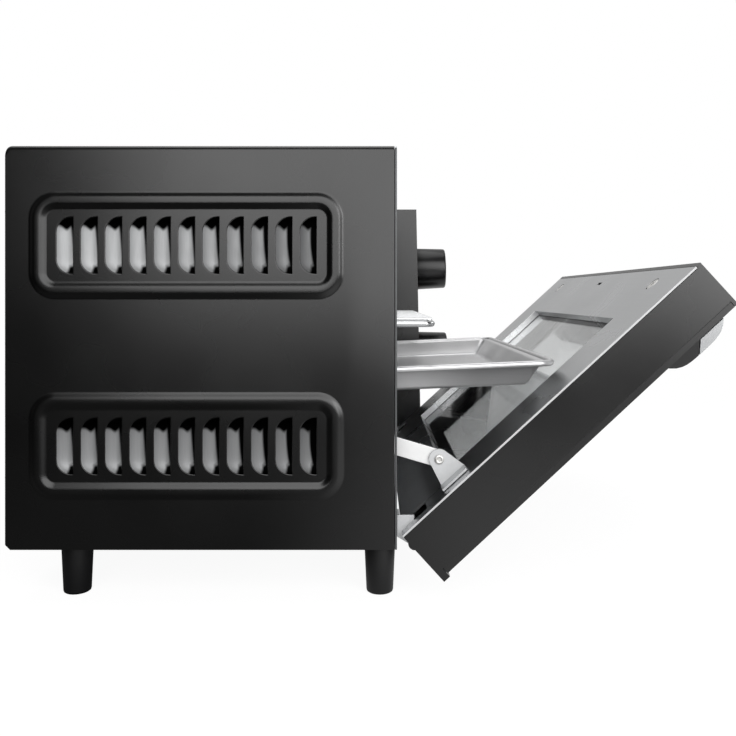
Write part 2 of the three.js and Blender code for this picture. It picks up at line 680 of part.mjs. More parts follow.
// A side wall of the cavity with two pairs of runners, for the rack and for the tray.
function cavityWall(side) {
  const inner = side < 0 ? CAVITY_LEFT : CAVITY_RIGHT;
  const ends = [inner, inner + side * SHEET].sort((a, b) => a - b);
  const wall = box(CAVITY_BACK, INSIDE_FRONT, ...ends, CAVITY_FLOOR + GAP, CAVITY_CEILING - GAP);
  const slope = Math.tan(TRAY_TILT);
  const rackSeat = RACK_LEVEL - RACK_FRAME_RADIUS - GAP - LEDGE_THICKNESS;
  const rackGuard = RACK_LEVEL + RACK_FRAME_RADIUS + 2 * RACK_WIRE_RADIUS + GAP;
  const traySeat = TRAY_RIM_LEVEL - TRAY_ROLL_RADIUS - GAP - LEDGE_THICKNESS;
  const trayGuard = TRAY_RIM_LEVEL + TRAY_ROLL_RADIUS + 2 * GAP;
  const holes = tubePlaces().map(({ x, z }) => bar(
    TUBE_RADIUS + RUN, 'y', [x, Math.min(...ends) - SHEET, z], 3 * SHEET,
  ));
  return cut(join(
    wall,
    ledge(side, rackSeat, 0, LEDGE_THICKNESS),
    ledge(side, rackGuard, 0, LEDGE_THICKNESS),
    ledge(side, traySeat, slope, LEDGE_THICKNESS),
    ledge(side, trayGuard, slope, LEDGE_THICKNESS),
  ), ...holes);
}

function cavitySheet(low) {
  return box(CAVITY_BACK, INSIDE_FRONT, CAVITY_LEFT - SHEET, CAVITY_RIGHT + SHEET, low, low + SHEET);
}

function cavityBack() {
  const front = CAVITY_BACK - GAP;
  const ends = [CAVITY_LEFT - SHEET, CAVITY_RIGHT + SHEET];
  return box(front - SHEET, front, ...ends, CAVITY_FLOOR - SHEET, CAVITY_CEILING + SHEET);
}

function tubePlaces() {
  const high = CAVITY_CEILING - UPPER_TUBE_DROP;
  const low = CAVITY_FLOOR + LOWER_TUBE_RISE;
  return [
    { name: 'upper_front', x: TUBE_FRONT_X, z: high },
    { name: 'upper_rear', x: TUBE_REAR_X, z: high },
    { name: 'lower_front', x: TUBE_FRONT_X, z: low },
    { name: 'lower_rear', x: TUBE_REAR_X, z: low },
  ];
}

// A sheathed heating tube with a collar against each side wall and a terminal stud at each end.
function heatingTube({ x, z }) {
  const collarEnd = GAP + TUBE_COLLAR_LENGTH;
  const through = SHEET + GAP;
  const half = [
    [TUBE_STUD_RADIUS, -through - TUBE_STUD_LENGTH],
    [TUBE_STUD_RADIUS, -through],
    [TUBE_RADIUS, -through],
    [TUBE_RADIUS, GAP],
    [TUBE_COLLAR_RADIUS, GAP],
    [TUBE_COLLAR_RADIUS, collarEnd],
    [TUBE_RADIUS, collarEnd],
  ];
  const far = half.map(([radius, along]) => [radius, CAVITY_WIDTH - along]).reverse();
  const start = -through - TUBE_STUD_LENGTH;
  return turned([[0, start], ...half, ...far, [0, CAVITY_WIDTH - start]], 'y', [x, CAVITY_LEFT, z], 12);
}

// A shallow tray on the cavity's floor, with low rims and a taller front edge to pull it by.
function crumbTray() {
  const low = CAVITY_FLOOR + GAP;
  const side = 2 * GAP;
  const rear = CAVITY_BACK + side;
  const front = INSIDE_FRONT - side;
  const left = CAVITY_LEFT + side;
  const right = CAVITY_RIGHT - side;
  const rims = box(rear, front, left, right, low, low + CRUMB_RIM);
  const inside = box(
    rear + CRUMB_SHEET,
    front - CRUMB_SHEET,
    left + CRUMB_SHEET,
    right - CRUMB_SHEET,
    low + CRUMB_SHEET,
    low + 2 * CRUMB_RIM,
  );
  const pull = box(front - CRUMB_SHEET, front, left, right, low, low + CRUMB_PULL_HEIGHT);
  return join(cut(rims, inside), pull);
}

function heatShield() {
  const rear = SKIN_BACK + SHEET + GAP;
  return box(rear, INSIDE_FRONT, HEAT_SHIELD_Y, HEAT_SHIELD_Y + SHEET, BASE_TOP + GAP, TOP - SHEET - GAP);
}

// Door

// How far the door's outer face stands from the cabinet's front, at a height up the door.
function doorOuter(up) {
  return DOOR_STANDOFF + DOOR_DEPTH_BOTTOM - DOOR_LEAN * up;
}

// A slab between two depths under the door's outer face and two heights up the door.
function leaningSlab(deep, shallow, low, high, y0, y1) {
  return slab('xz', [
    [doorOuter(low) - deep, DOOR_BOTTOM + low],
    [doorOuter(low) - shallow, DOOR_BOTTOM + low],
    [doorOuter(high) - shallow, DOOR_BOTTOM + high],
    [doorOuter(high) - deep, DOOR_BOTTOM + high],
  ], y0, y1);
}

// The band across the door, between a low and a high y, that starts a given inset from its side.
function band(side, inset, width) {
  const ends = [mirrored(side, DOOR_LEFT + inset), mirrored(side, DOOR_LEFT + inset + width)];
  return ends.sort((a, b) => a - b);
}

// A block beside the hinge ear that holds the pin.
function pinBoss(side, inset, reach) {
  const ends = band(side, inset, BOSS_THICKNESS);
  return join(
    box(PIVOT_X - EAR_RADIUS, PIVOT_X + reach, ...ends, DOOR_BOTTOM, PIVOT_Z + EAR_RADIUS),
    bar(EAR_RADIUS, 'y', [PIVOT_X, ends[0], PIVOT_Z], BOSS_THICKNESS, 24),
  );
}

function handleScrewInset() {
  return HANDLE_END_INSET + HANDLE_FOOT_WIDTH / 2;
}

function doorShell() {
  const inner = DOOR_STANDOFF + LINER + GAP;
  const plateBack = FRONT_GLASS + GAP + DOOR_WALL;
  const lipUp = DOOR_HEIGHT - TOP_LIP_HEIGHT;
  const sideView = [
    [inner, DOOR_BOTTOM],
    [doorOuter(0) + BOTTOM_LIP_PROUD, DOOR_BOTTOM],
    [doorOuter(BOTTOM_LIP_HEIGHT) + BOTTOM_LIP_PROUD, DOOR_BOTTOM + BOTTOM_LIP_HEIGHT],
    [doorOuter(BOTTOM_LIP_HEIGHT) - FRONT_GLASS - GAP, DOOR_BOTTOM + BOTTOM_LIP_HEIGHT],
    [doorOuter(lipUp) - FRONT_GLASS - GAP, DOOR_BOTTOM + lipUp],
    [doorOuter(lipUp), DOOR_BOTTOM + lipUp],
    [doorOuter(DOOR_HEIGHT), DOOR_BOTTOM + DOOR_HEIGHT],
    [inner, DOOR_BOTTOM + DOOR_HEIGHT],
  ];
  const capLow = DOOR_BOTTOM + DOOR_HEIGHT - LINER_TOP_STEP + GAP;
  const cap = box(DOOR_STANDOFF, inner + SHEET, DOOR_LEFT, DOOR_RIGHT, capLow, DOOR_BOTTOM + DOOR_HEIGHT);
  const block = slab('xz', sideView, DOOR_LEFT, DOOR_RIGHT);
  const hollow = slab('xz', [
    [inner - SHEET, DOOR_BOTTOM + DOOR_WALL],
    [doorOuter(DOOR_WALL) - plateBack, DOOR_BOTTOM + DOOR_WALL],
    [doorOuter(DOOR_HEIGHT) - plateBack, DOOR_BOTTOM + DOOR_HEIGHT - DOOR_WALL],
    [inner - SHEET, DOOR_BOTTOM + DOOR_HEIGHT - DOOR_WALL],
  ], DOOR_LEFT + DOOR_WALL, DOOR_RIGHT - DOOR_WALL);
  const window = box(
    0, PANEL_DEPTH_BOTTOM, DOOR_LEFT + WINDOW_SIDE_MARGIN, DOOR_RIGHT - WINDOW_SIDE_MARGIN,
    DOOR_BOTTOM + FRONT_WINDOW_LOW, DOOR_BOTTOM + FRONT_WINDOW_HIGH,
  );
  let shell = join(cut(block, hollow, window), cap);
  for (const side of [-1, 1]) {
    const y = mirrored(side, DOOR_LEFT + handleScrewInset());
    const z = DOOR_BOTTOM + HANDLE_SCREW_UP;
    const reach = doorOuter(HANDLE_SCREW_UP) - FRONT_GLASS - GAP - DOOR_WALL / 2 - inner;
    const notch = box(
      0, PIVOT_X + EAR_RADIUS + 2 * RUN + 1, ...band(side, HINGE_CUT_START, HINGE_CUT_WIDTH),
      DOOR_BOTTOM - SHEET, DOOR_BOTTOM + HINGE_CUT_UP,
    );
    const earSide = EAR_INSET - 2 * RUN - BOSS_THICKNESS;
    shell = cut(shell, notch);
    shell = join(
      shell,
      bar(HANDLE_BOSS_RADIUS, 'x', [inner, y, z], reach),
      pinBoss(side, earSide, EAR_RADIUS),
      pinBoss(side, EAR_INSET + EAR_THICKNESS + 2 * RUN, EAR_RADIUS * 2),
    );
    const [pinStart] = band(side, DOOR_WALL, PIN_LENGTH + 2 * RUN);
    shell = cut(
      shell,
      bar(HANDLE_SCREW_RADIUS + RUN, 'x', [inner - SHEET, y, z], PANEL_DEPTH_BOTTOM),
      bar(PIN_RADIUS + RUN, 'y', [PIVOT_X, pinStart, PIVOT_Z], PIN_LENGTH + 2 * RUN),
    );
  }
  return shell;
}

function doorLiner() {
  const face = DOOR_STANDOFF;
  const top = DOOR_BOTTOM + DOOR_HEIGHT - LINER_TOP_STEP;
  const sheet = box(face, face + LINER, DOOR_LEFT, DOOR_RIGHT, DOOR_BOTTOM, top);
  const windowBox = (grow, x0, x1) => box(
    x0, x1, DOOR_LEFT + WINDOW_SIDE_MARGIN - grow, DOOR_RIGHT - WINDOW_SIDE_MARGIN + grow,
    DOOR_BOTTOM + WINDOW_LOW - grow, DOOR_BOTTOM + WINDOW_HIGH + grow,
  );
  const slotUp = DOOR_BOTTOM + LATCH_SLOT_UP;
  const slot = box(
    0, face + 2 * LINER, DOOR_MIDDLE - LATCH_SLOT_WIDTH / 2, DOOR_MIDDLE + LATCH_SLOT_WIDTH / 2,
    slotUp - LATCH_SLOT_HEIGHT / 2, slotUp + LATCH_SLOT_HEIGHT / 2,
  );
  const holes = [windowBox(0, 0, face + 3 * WINDOW_RETURN), slot];
  for (const side of [-1, 1]) {
    const y = mirrored(side, DOOR_LEFT + handleScrewInset());
    const z = DOOR_BOTTOM + HANDLE_SCREW_UP;
    const ends = band(side, HINGE_CUT_START, HINGE_CUT_WIDTH);
    holes.push(bar(HANDLE_SCREW_HEAD_RADIUS + GAP, 'x', [0, y, z], 3 * LINER, 16));
    holes.push(box(0, face + 2 * LINER, ...ends, DOOR_BOTTOM - LINER, DOOR_BOTTOM + HINGE_CUT_UP));
  }
  const fold = windowBox(LINER, face + LINER / 2, face + WINDOW_RETURN);
  return cut(join(sheet, fold), ...holes);
}

function doorInnerGlass() {
  const back = DOOR_STANDOFF + WINDOW_RETURN + GAP;
  return box(
    back, back + INNER_GLASS,
    DOOR_LEFT + WINDOW_SIDE_MARGIN - GLASS_LAP, DOOR_RIGHT - WINDOW_SIDE_MARGIN + GLASS_LAP,
    DOOR_BOTTOM + WINDOW_LOW - GLASS_LAP, DOOR_BOTTOM + WINDOW_HIGH + GLASS_LAP,
  );
}

function doorFrontGlass() {
  const pane = leaningSlab(
    FRONT_GLASS, 0, BOTTOM_LIP_HEIGHT + GAP, DOOR_HEIGHT - TOP_LIP_HEIGHT - GAP, DOOR_LEFT, DOOR_RIGHT,
  );
  const holes = [-1, 1].map((side) => {
    const y = mirrored(side, DOOR_LEFT + handleScrewInset());
    const at = [DOOR_STANDOFF, y, DOOR_BOTTOM + HANDLE_SCREW_UP];
    return bar(HANDLE_SCREW_RADIUS + 2 * RUN, 'x', at, 2 * PANEL_DEPTH_BOTTOM);
  });
  return cut(pane, ...holes);
}

// Handle

// A length of the handle's section, from a distance off the door out to its curved front.
function handleSection(back, y0, y1) {
  const steps = 14;
  const half = (HANDLE_HIGH - HANDLE_LOW) / 2;
  const front = [];
  for (let i = 0; i <= steps; i += 1) {
    const up = HANDLE_LOW + ((HANDLE_HIGH - HANDLE_LOW) * i) / steps;
    const across = Math.abs(up - HANDLE_LOW - half) / half;
    const proud = HANDLE_PROUD - HANDLE_BULGE * across ** 4;
    front.push([doorOuter(up) + proud, DOOR_BOTTOM + up]);
  }
  return slab('xz', [
    [doorOuter(HANDLE_LOW) + back, DOOR_BOTTOM + HANDLE_LOW],
    ...front,
    [doorOuter(HANDLE_HIGH) + back, DOOR_BOTTOM + HANDLE_HIGH],
  ], y0, y1);
}

// Everything above the slanting joint between the grip and the trim, moved up by a shift.
function aboveSplit(shift) {
  const slope = HANDLE_SPLIT_DROP / HANDLE_GRIP_THICKNESS;
  const reach = 3 * HANDLE_PROUD;
  const x = doorOuter(HANDLE_SPLIT) + HANDLE_PROUD - HANDLE_GRIP_THICKNESS;
  const z = DOOR_BOTTOM + HANDLE_SPLIT + shift;
  return slab('xz', [
    [x - reach, z + slope * reach],
    [x + reach, z - slope * reach],
    [x + reach, z + 2 * slope * reach],
    [x - reach, z + 2 * slope * reach],
  ], DOOR_LEFT, DOOR_RIGHT);
}

// The black grip, with a foot at each end that stands on the door.
function handleGrip() {
  const back = HANDLE_PROUD - HANDLE_GRIP_THICKNESS;
  const left = DOOR_LEFT + HANDLE_END_INSET;
  const right = DOOR_RIGHT - HANDLE_END_INSET;
  const trimSpace = aboveSplit(-GAP);
  let grip = cut(handleSection(back, left, right), trimSpace);
  for (const side of [-1, 1]) {
    const ends = band(side, HANDLE_END_INSET, HANDLE_FOOT_WIDTH);
    const lower = cut(handleSection(GAP, ...ends), trimSpace);
    const upper = slab('xz', [
      [doorOuter(HANDLE_LOW) + GAP, DOOR_BOTTOM + HANDLE_LOW],
      [doorOuter(HANDLE_LOW) + back - GAP, DOOR_BOTTOM + HANDLE_LOW],
      [doorOuter(HANDLE_HIGH) + back - GAP, DOOR_BOTTOM + HANDLE_HIGH],
      [doorOuter(HANDLE_HIGH) + GAP, DOOR_BOTTOM + HANDLE_HIGH],
    ], ...ends);
    const bore = bar(HANDLE_SCREW_RADIUS + RUN, 'x', [
      DOOR_STANDOFF, mirrored(side, DOOR_LEFT + handleScrewInset()), DOOR_BOTTOM + HANDLE_SCREW_UP,
    ], doorOuter(HANDLE_SCREW_UP) - DOOR_STANDOFF + HANDLE_SCREW_REACH + RUN);
    grip = cut(join(grip, lower, upper), bore);
  }
  return grip;
}

function handleTrim() {
  const back = HANDLE_PROUD - HANDLE_GRIP_THICKNESS;
  const whole = handleSection(back, DOOR_LEFT + HANDLE_END_INSET, DOOR_RIGHT - HANDLE_END_INSET);
  return whole.intersect(aboveSplit(GAP));
}

function handleScrew(side) {
  const length = doorOuter(HANDLE_SCREW_UP) - DOOR_STANDOFF + HANDLE_SCREW_REACH;
  const y = mirrored(side, DOOR_LEFT + handleScrewInset());
  return turned([
    [0, 0],
    [HANDLE_SCREW_HEAD_RADIUS, 0],
    [HANDLE_SCREW_HEAD_RADIUS, LINER],
    [HANDLE_SCREW_RADIUS, LINER],
    [HANDLE_SCREW_RADIUS, length],
    [0, length],
  ], 'x', [DOOR_STANDOFF, y, DOOR_BOTTOM + HANDLE_SCREW_UP], 16);
}

// Hinges and arm

// A bracket on the front frame, with a leaf that lies against it and an ear that carries the pin.
function hingeBracket(side) {
  const back = GAP;
  const ear = slab('xz', [
    [back, LEAF_TOP],
    [back, LEAF_BOTTOM],
    ...arc(PIVOT_X, PIVOT_Z, EAR_RADIUS, -1, 1, 8),
    [PIVOT_X, LEAF_TOP],
  ], ...band(side, EAR_INSET, EAR_THICKNESS));
  const width = band(side, EAR_INSET, LEAF_WIDTH);
  const leaf = box(back, back + LEAF_THICKNESS, ...width, LEAF_BOTTOM, LEAF_TOP);
  const [start] = band(side, EAR_INSET - SHEET, EAR_THICKNESS + 2 * SHEET);
  const bore = bar(PIN_RADIUS + RUN, 'y', [PIVOT_X, start, PIVOT_Z], EAR_THICKNESS + 2 * SHEET);
  return cut(join(ear, leaf), bore);
}

function hingePin(side) {
  const [start] = band(side, DOOR_WALL + RUN, PIN_LENGTH);
  return bar(PIN_RADIUS, 'y', [PIVOT_X, start, PIVOT_Z], PIN_LENGTH);
}

function rivetX() {
  return DOOR_STANDOFF - RIVET_OUT;
}

function rivetZ() {
  return DOOR_BOTTOM + RIVET_UP;
}

// A folded tab on the liner: a flange that lies on it and an upright that the arm is riveted to.
function armBracket() {
  const face = DOOR_STANDOFF - GAP;
  const inset = ARM_INSET - GAP - ARM_THICKNESS;
  const low = DOOR_BOTTOM + ARM_BRACKET_LOW;
  const high = DOOR_BOTTOM + ARM_BRACKET_HIGH;
  const upright = slab('xz', [
    [face, low],
    [face, high],
    ...arc(rivetX(), rivetZ(), ARM_BRACKET_RADIUS, 1, 3, 8),
  ], ...band(ARM_SIDE, inset, ARM_THICKNESS));
  const ends = band(ARM_SIDE, inset - ARM_BRACKET_FLANGE, ARM_BRACKET_FLANGE + ARM_THICKNESS);
  const flange = box(face - ARM_THICKNESS + GAP, face, ...ends, low, high);
  const [start] = band(ARM_SIDE, inset - SHEET, ARM_THICKNESS + 2 * SHEET);
  const bore = bar(RIVET_RADIUS + RUN, 'y', [rivetX(), start, rivetZ()], ARM_THICKNESS + 2 * SHEET);
  return cut(join(upright, flange), bore);
}

function armRivet() {
  const outside = ARM_INSET - GAP - ARM_THICKNESS - GAP - RIVET_HEAD;
  const length = RIVET_HEAD + 2 * GAP + 2 * ARM_THICKNESS;
  const profile = [
    [0, 0],
    [RIVET_HEAD_RADIUS * 0.8, 0],
    [RIVET_HEAD_RADIUS, RIVET_HEAD * 0.6],
    [RIVET_HEAD_RADIUS, RIVET_HEAD],
    [RIVET_RADIUS, RIVET_HEAD],
    [RIVET_RADIUS, length],
    [0, length],
  ];
  return turned(profile, 'y', [rivetX(), LEFT + outside, rivetZ()], 12);
}

// A flat bar with round ends and a long slot, drawn along -X from its rivet.
function doorArm() {
  const half = ARM_WIDTH / 2;
  const slotHalf = ARM_SLOT_WIDTH / 2;
  const ends = band(ARM_SIDE, ARM_INSET, ARM_THICKNESS);
  const outline = [...arc(0, 0, half, -1, 1, 8), ...arc(-ARM_LENGTH, 0, half, 1, 3, 8)];
  const slot = [
    ...arc(-ARM_SLOT_START, 0, slotHalf, -1, 1, 4),
    ...arc(-ARM_SLOT_END, 0, slotHalf, 1, 3, 4),
  ];
  const start = Math.min(...ends) - SHEET;
  return cut(
    slab('xz', outline, ...ends),
    slab('xz', slot, start, start + ARM_THICKNESS + 2 * SHEET),
    bar(RIVET_RADIUS + RUN, 'y', [0, start, 0], ARM_THICKNESS + 2 * SHEET),
  );
}

// Rack and trays

// A round wire that runs once around a level rounded rectangle.
function wireLoop(x0, x1, y0, y1, z, corner, radius, sides, steps) {
  const rings = [];
  for (let i = 0; i < sides; i += 1) {
    const angle = ((i + 0.5) / sides) * Math.PI * 2;
    const out = radius * Math.cos(angle);
    const outline = roundedRectangle(x0 - out, x1 + out, y0 - out, y1 + out, corner + out, steps);
    rings.push(outline.map(([x, y]) => new THREE.Vector3(x, y, z + radius * Math.sin(angle))));
  }
  return loft(rings, true);
}

function wireRack() {
  const front = RACK_FRONT - RACK_FRAME_RADIUS;
  const rear = RACK_FRONT - RACK_DEPTH + RACK_FRAME_RADIUS;
  const left = CAVITY_MIDDLE - RACK_WIDTH / 2 + RACK_FRAME_RADIUS;
  const right = CAVITY_MIDDLE + RACK_WIDTH / 2 - RACK_FRAME_RADIUS;
  const frame = wireLoop(rear, front, left, right, RACK_LEVEL, RACK_CORNER, RACK_FRAME_RADIUS, 8, 3);
  const pitch = (right - left) / (RACK_WIRE_COUNT + 1);
  const wires = [];
  for (let i = 1; i <= RACK_WIRE_COUNT; i += 1) {
    const z = RACK_LEVEL + RACK_FRAME_RADIUS + RACK_WIRE_RADIUS * 0.4;
    wires.push(bar(RACK_WIRE_RADIUS, 'x', [rear, left + i * pitch, z], front - rear, 6));
  }
  return join(frame, ...wires);
}

// The tray in its own frame: X = 0 at its front, Z = 0 at the middle of its rolled rim.
function bakingTray() {
  const half = TRAY_WIDTH / 2;
  const steps = 4;
  const level = (inset, z) => {
    const corner = Math.max(TRAY_CORNER - inset, 1);
    return roundedRectangle(-TRAY_LENGTH + inset, -inset, -half + inset, half - inset, corner, steps)
      .map(([x, y]) => new THREE.Vector3(x, y, z));
  };
  const flangeTop = TRAY_SHEET / 2;
  const bottom = TRAY_ROLL_RADIUS - TRAY_DEPTH;
  const wall = TRAY_FLANGE;
  const foot = TRAY_FLANGE + TRAY_FLARE;
  const roll = TRAY_ROLL_RADIUS;
  const rim = wireLoop(
    -TRAY_LENGTH + roll, -roll, -half + roll, half - roll, 0, TRAY_CORNER - roll, roll, 8, steps,
  );
  const outside = loft([
    level(roll, flangeTop),
    level(roll, flangeTop - TRAY_SHEET),
    level(wall, flangeTop - TRAY_SHEET),
    level(foot, bottom),
    level(foot + TRAY_SHEET, bottom - TRAY_SHEET * 0.5),
  ]);
  const inside = loft([
    level(wall + TRAY_SHEET, flangeTop + TRAY_SHEET),
    level(wall + TRAY_SHEET, flangeTop - TRAY_SHEET),
    level(foot + TRAY_SHEET, bottom + TRAY_SHEET * 0.6),
  ]);
  return cut(join(outside, rim), inside);
}

// Controls, drawn with X = 0 at the panel's outer face and pointing out of it

// How far the panel's face stands from the cabinet's front, at a height above the worktop.
function panelFace(z) {
  return PANEL_DEPTH_BOTTOM - Math.tan(PANEL_LEAN) * (z - PANEL_BOTTOM);
}

function controlPanel() {
  const back = GAP;
  const top = PANEL_BOTTOM + PANEL_HEIGHT;
  const profile = (inset, thickness, start) => [
    [start, PANEL_BOTTOM + inset],
    [panelFace(PANEL_BOTTOM + inset) - thickness, PANEL_BOTTOM + inset],
    [panelFace(top - inset) - thickness, top - inset],
    [start, top - inset],
  ];
  const block = slab('xz', profile(0, 0, back), PANEL_LEFT, RIGHT);
  const inside = [PANEL_LEFT + PANEL_WALL, RIGHT - PANEL_WALL];
  const hollow = slab('xz', profile(PANEL_WALL, PANEL_FRONT_WALL, -SHEET), ...inside);
  const holes = [
    [KNOB_HIGH, SHAFT_RADIUS + 2 * RUN],
    [KNOB_LOW, SHAFT_RADIUS + 2 * RUN],
    [LENS_UP, LENS_STEM_RADIUS + RUN],
  ].map(([z, radius]) => {
    const start = panelFace(z) - 4 * PANEL_WALL;
    return bar(radius, 'x', [start, PANEL_MIDDLE, z], 6 * PANEL_WALL);
  });
  return cut(block, hollow, ...holes);
}

function shaftOutline(spread) {
  const radius = SHAFT_RADIUS + spread;
  const flat = SHAFT_FLAT + spread;
  return arc(0, 0, radius, 0, 4, 16).slice(0, 16).map(([y, z]) => [y, Math.min(z, flat)]);
}

function controlShaft() {
  return slab('yz', shaftOutline(0), -PANEL_FRONT_WALL - SHAFT_IN_BODY, KNOB_STANDOFF + SHAFT_IN_KNOB);
}

// A plain round knob with a slight taper, a soft front edge and a pointer groove.
function knob() {
  const end = KNOB_STANDOFF + KNOB_DEPTH;
  const body = turned([
    [0, KNOB_STANDOFF],
    [KNOB_BASE_RADIUS, KNOB_STANDOFF],
    [KNOB_FRONT_RADIUS, end - KNOB_EDGE],
    [KNOB_FRONT_RADIUS - KNOB_EDGE * 0.3, end - KNOB_EDGE * 0.3],
    [KNOB_FRONT_RADIUS - KNOB_EDGE, end],
    [0, end],
  ], 'x', [0, 0, 0], 36);
  const socket = slab('yz', shaftOutline(RUN), KNOB_STANDOFF - SHEET, KNOB_STANDOFF + SHAFT_IN_KNOB + RUN);
  const half = KNOB_POINTER_WIDTH / 2;
  const pointer = box(
    end - KNOB_POINTER_DEPTH, end + SHEET, -half, half, KNOB_FRONT_RADIUS * 0.4, KNOB_BASE_RADIUS + SHEET,
  );
  return cut(body, socket, pointer);
}

// The works behind the panel, with a bore for the shaft's end.
function controlBody(size, depth) {
  const front = -PANEL_FRONT_WALL - GAP;
  const outline = roundedRectangle(-size / 2, size / 2, -size / 2, size / 2, 4, 2);
  const block = slab('yz', outline, front - depth, front);
  const start = front - SHAFT_IN_BODY - RUN;
  const bore = bar(SHAFT_RADIUS + RUN, 'x', [start, 0, 0], SHAFT_IN_BODY + 2 * SHEET, 16);
  return cut(block, bore);
}

function pilotLens() {
  return turned([
    [0, -LENS_STEM],
    [LENS_STEM_RADIUS, -LENS_STEM],
    [LENS_STEM_RADIUS, GAP],
    [LENS_RADIUS, GAP],
    [LENS_RADIUS * 0.85, LENS_PROUD * 0.6],
    [LENS_RADIUS * 0.5, LENS_PROUD],
    [0, LENS_PROUD],
  ], 'x', [0, 0, 0], 16);
}

function terminalBlock() {
  const low = BASE_TOP + GAP;
  const ends = [PANEL_MIDDLE - TERMINAL_WIDTH / 2, PANEL_MIDDLE + TERMINAL_WIDTH / 2];
  return box(TERMINAL_X, TERMINAL_X + TERMINAL_LENGTH, ...ends, low, low + TERMINAL_HEIGHT);
}

// Materials

function material(color, roughness, metalness, opacity = 1) {
  return new THREE.MeshStandardMaterial({ color, roughness, metalness, opacity, transparent: opacity < 1 });
}

const blackPaint = material(0x1a1a1b, 0.42, 0);
const blackPlastic = material(0x141415, 0.5, 0);
const blackRubber = material(0x121212, 0.8, 0);
const satinSteel = material(0xb9babb, 0.4, 1);
const plainSteel = material(0xa4a6a8, 0.5, 1);
const chromeWire = material(0xd9dadc, 0.2, 1);
const brightTray = material(0xc6c7c8, 0.32, 1);
const tubeSteel = material(0x5d5854, 0.55, 1);
const glass = material(0x9aa0a2, 0.05, 0, 0.35);
const darkGlass = material(0x101112, 0.06, 0, 0.6);
const amberLens = material(0xd8601a, 0.2, 0, 0.8);
const insulation = material(0xd8d2c4, 0.8, 0);

// Assembly

const oven = new THREE.Group();

// Adds a solid to a group as a mesh that bears the piece's name.
function add(group, name, shape, look) {
  const mesh = shape.getMesh();
  const geometry = new THREE.BufferGeometry();
  geometry.setAttribute('position', new THREE.BufferAttribute(new Float32Array(mesh.vertProperties), 3));
  geometry.setIndex(new THREE.BufferAttribute(new Uint32Array(mesh.triVerts), 1));
  geometry.computeVertexNormals();
  const piece = new THREE.Mesh(geometry, look);
  piece.name = name;
  group.add(piece);
}

const SIDES = [['left', -1], ['right', 1]];

function addCabinet(group) {
  add(group, 'outer_casing', outerCasing(), blackPaint);
  add(group, 'front_frame', frontFrame(), plainSteel);
  add(group, 'rear_cover', rearCover(), blackPaint);
  add(group, 'base_plate', basePlate(), plainSteel);
  for (const place of footPlaces()) add(group, `foot_${place.name}`, foot(place), blackPlastic);
  for (const place of rearScrewPlaces()) {
    add(group, `rear_screw_${place.name}`, rearScrew(place), satinSteel);
  }
  add(group, 'cord_inlet', cordInlet(), blackRubber);
  for (const [name, side] of SIDES) add(group, `cavity_${name}_wall`, cavityWall(side), plainSteel);
  add(group, 'cavity_floor', cavitySheet(CAVITY_FLOOR - SHEET), plainSteel);
  add(group, 'cavity_roof', cavitySheet(CAVITY_CEILING), plainSteel);
  add(group, 'cavity_back', cavityBack(), plainSteel);
  for (const place of tubePlaces()) add(group, `heating_tube_${place.name}`, heatingTube(place), tubeSteel);
  add(group, 'crumb_tray', crumbTray(), plainSteel);
  add(group, 'heat_shield', heatShield(), plainSteel);
  add(group, 'terminal_block', terminalBlock(), insulation);
  for (const [name, side] of SIDES) add(group, `hinge_bracket_${name}`, hingeBracket(side), satinSteel);
}

function addControls(group) {
  add(group, 'control_panel', controlPanel(), blackPaint);
  const controls = [
    { name: 'timer', z: KNOB_HIGH, size: TIMER_SIZE, depth: TIMER_DEPTH },
    { name: 'thermostat', z: KNOB_LOW, size: THERMOSTAT_SIZE, depth: THERMOSTAT_DEPTH },
  ];
  for (const { name, z, size, depth } of controls) {
    const seat = onPanel(z);
    add(seat, `${name}_body`, controlBody(size, depth), insulation);
    add(seat, `${name}_shaft`, controlShaft(), satinSteel);
    add(seat, `${name}_knob`, knob(), blackPlastic);
    group.add(seat);
  }
  const lamp = onPanel(LENS_UP);
  add(lamp, 'pilot_lens', pilotLens(), amberLens);
  group.add(lamp);
}

// A group whose X axis comes squarely out of the panel's face at a height above the worktop.
function onPanel(z) {
  const seat = new THREE.Group();
  seat.position.set(panelFace(z), PANEL_MIDDLE, z);
  seat.rotation.y = -PANEL_LEAN;
  return seat;
}

// The door is drawn closed, so its group is turned about the pivot and shifted back by it.
function addDoor(group) {
  const swing = new THREE.Group();
  swing.position.set(PIVOT_X, 0, PIVOT_Z);
  swing.rotation.y = THREE.MathUtils.degToRad(DOOR_OPEN_DEG);
  const door = new THREE.Group();
  door.position.set(-PIVOT_X, 0, -PIVOT_Z);
  swing.add(door);
  group.add(swing);
  add(door, 'door_shell', doorShell(), blackPaint);
  add(door, 'door_liner', doorLiner(), satinSteel);
  add(door, 'door_inner_glass', doorInnerGlass(), glass);
  add(door, 'door_front_glass', doorFrontGlass(), darkGlass);
  add(door, 'handle_grip', handleGrip(), blackPlastic);
  add(door, 'handle_trim', handleTrim(), satinSteel);
  for (const [name, side] of SIDES) {
    add(door, `handle_screw_${name}`, handleScrew(side), satinSteel);
    add(door, `hinge_pin_${name}`, hingePin(side), satinSteel);
  }
  add(door, 'arm_bracket', armBracket(), satinSteel);
  add(door, 'arm_rivet', armRivet(), satinSteel);
}

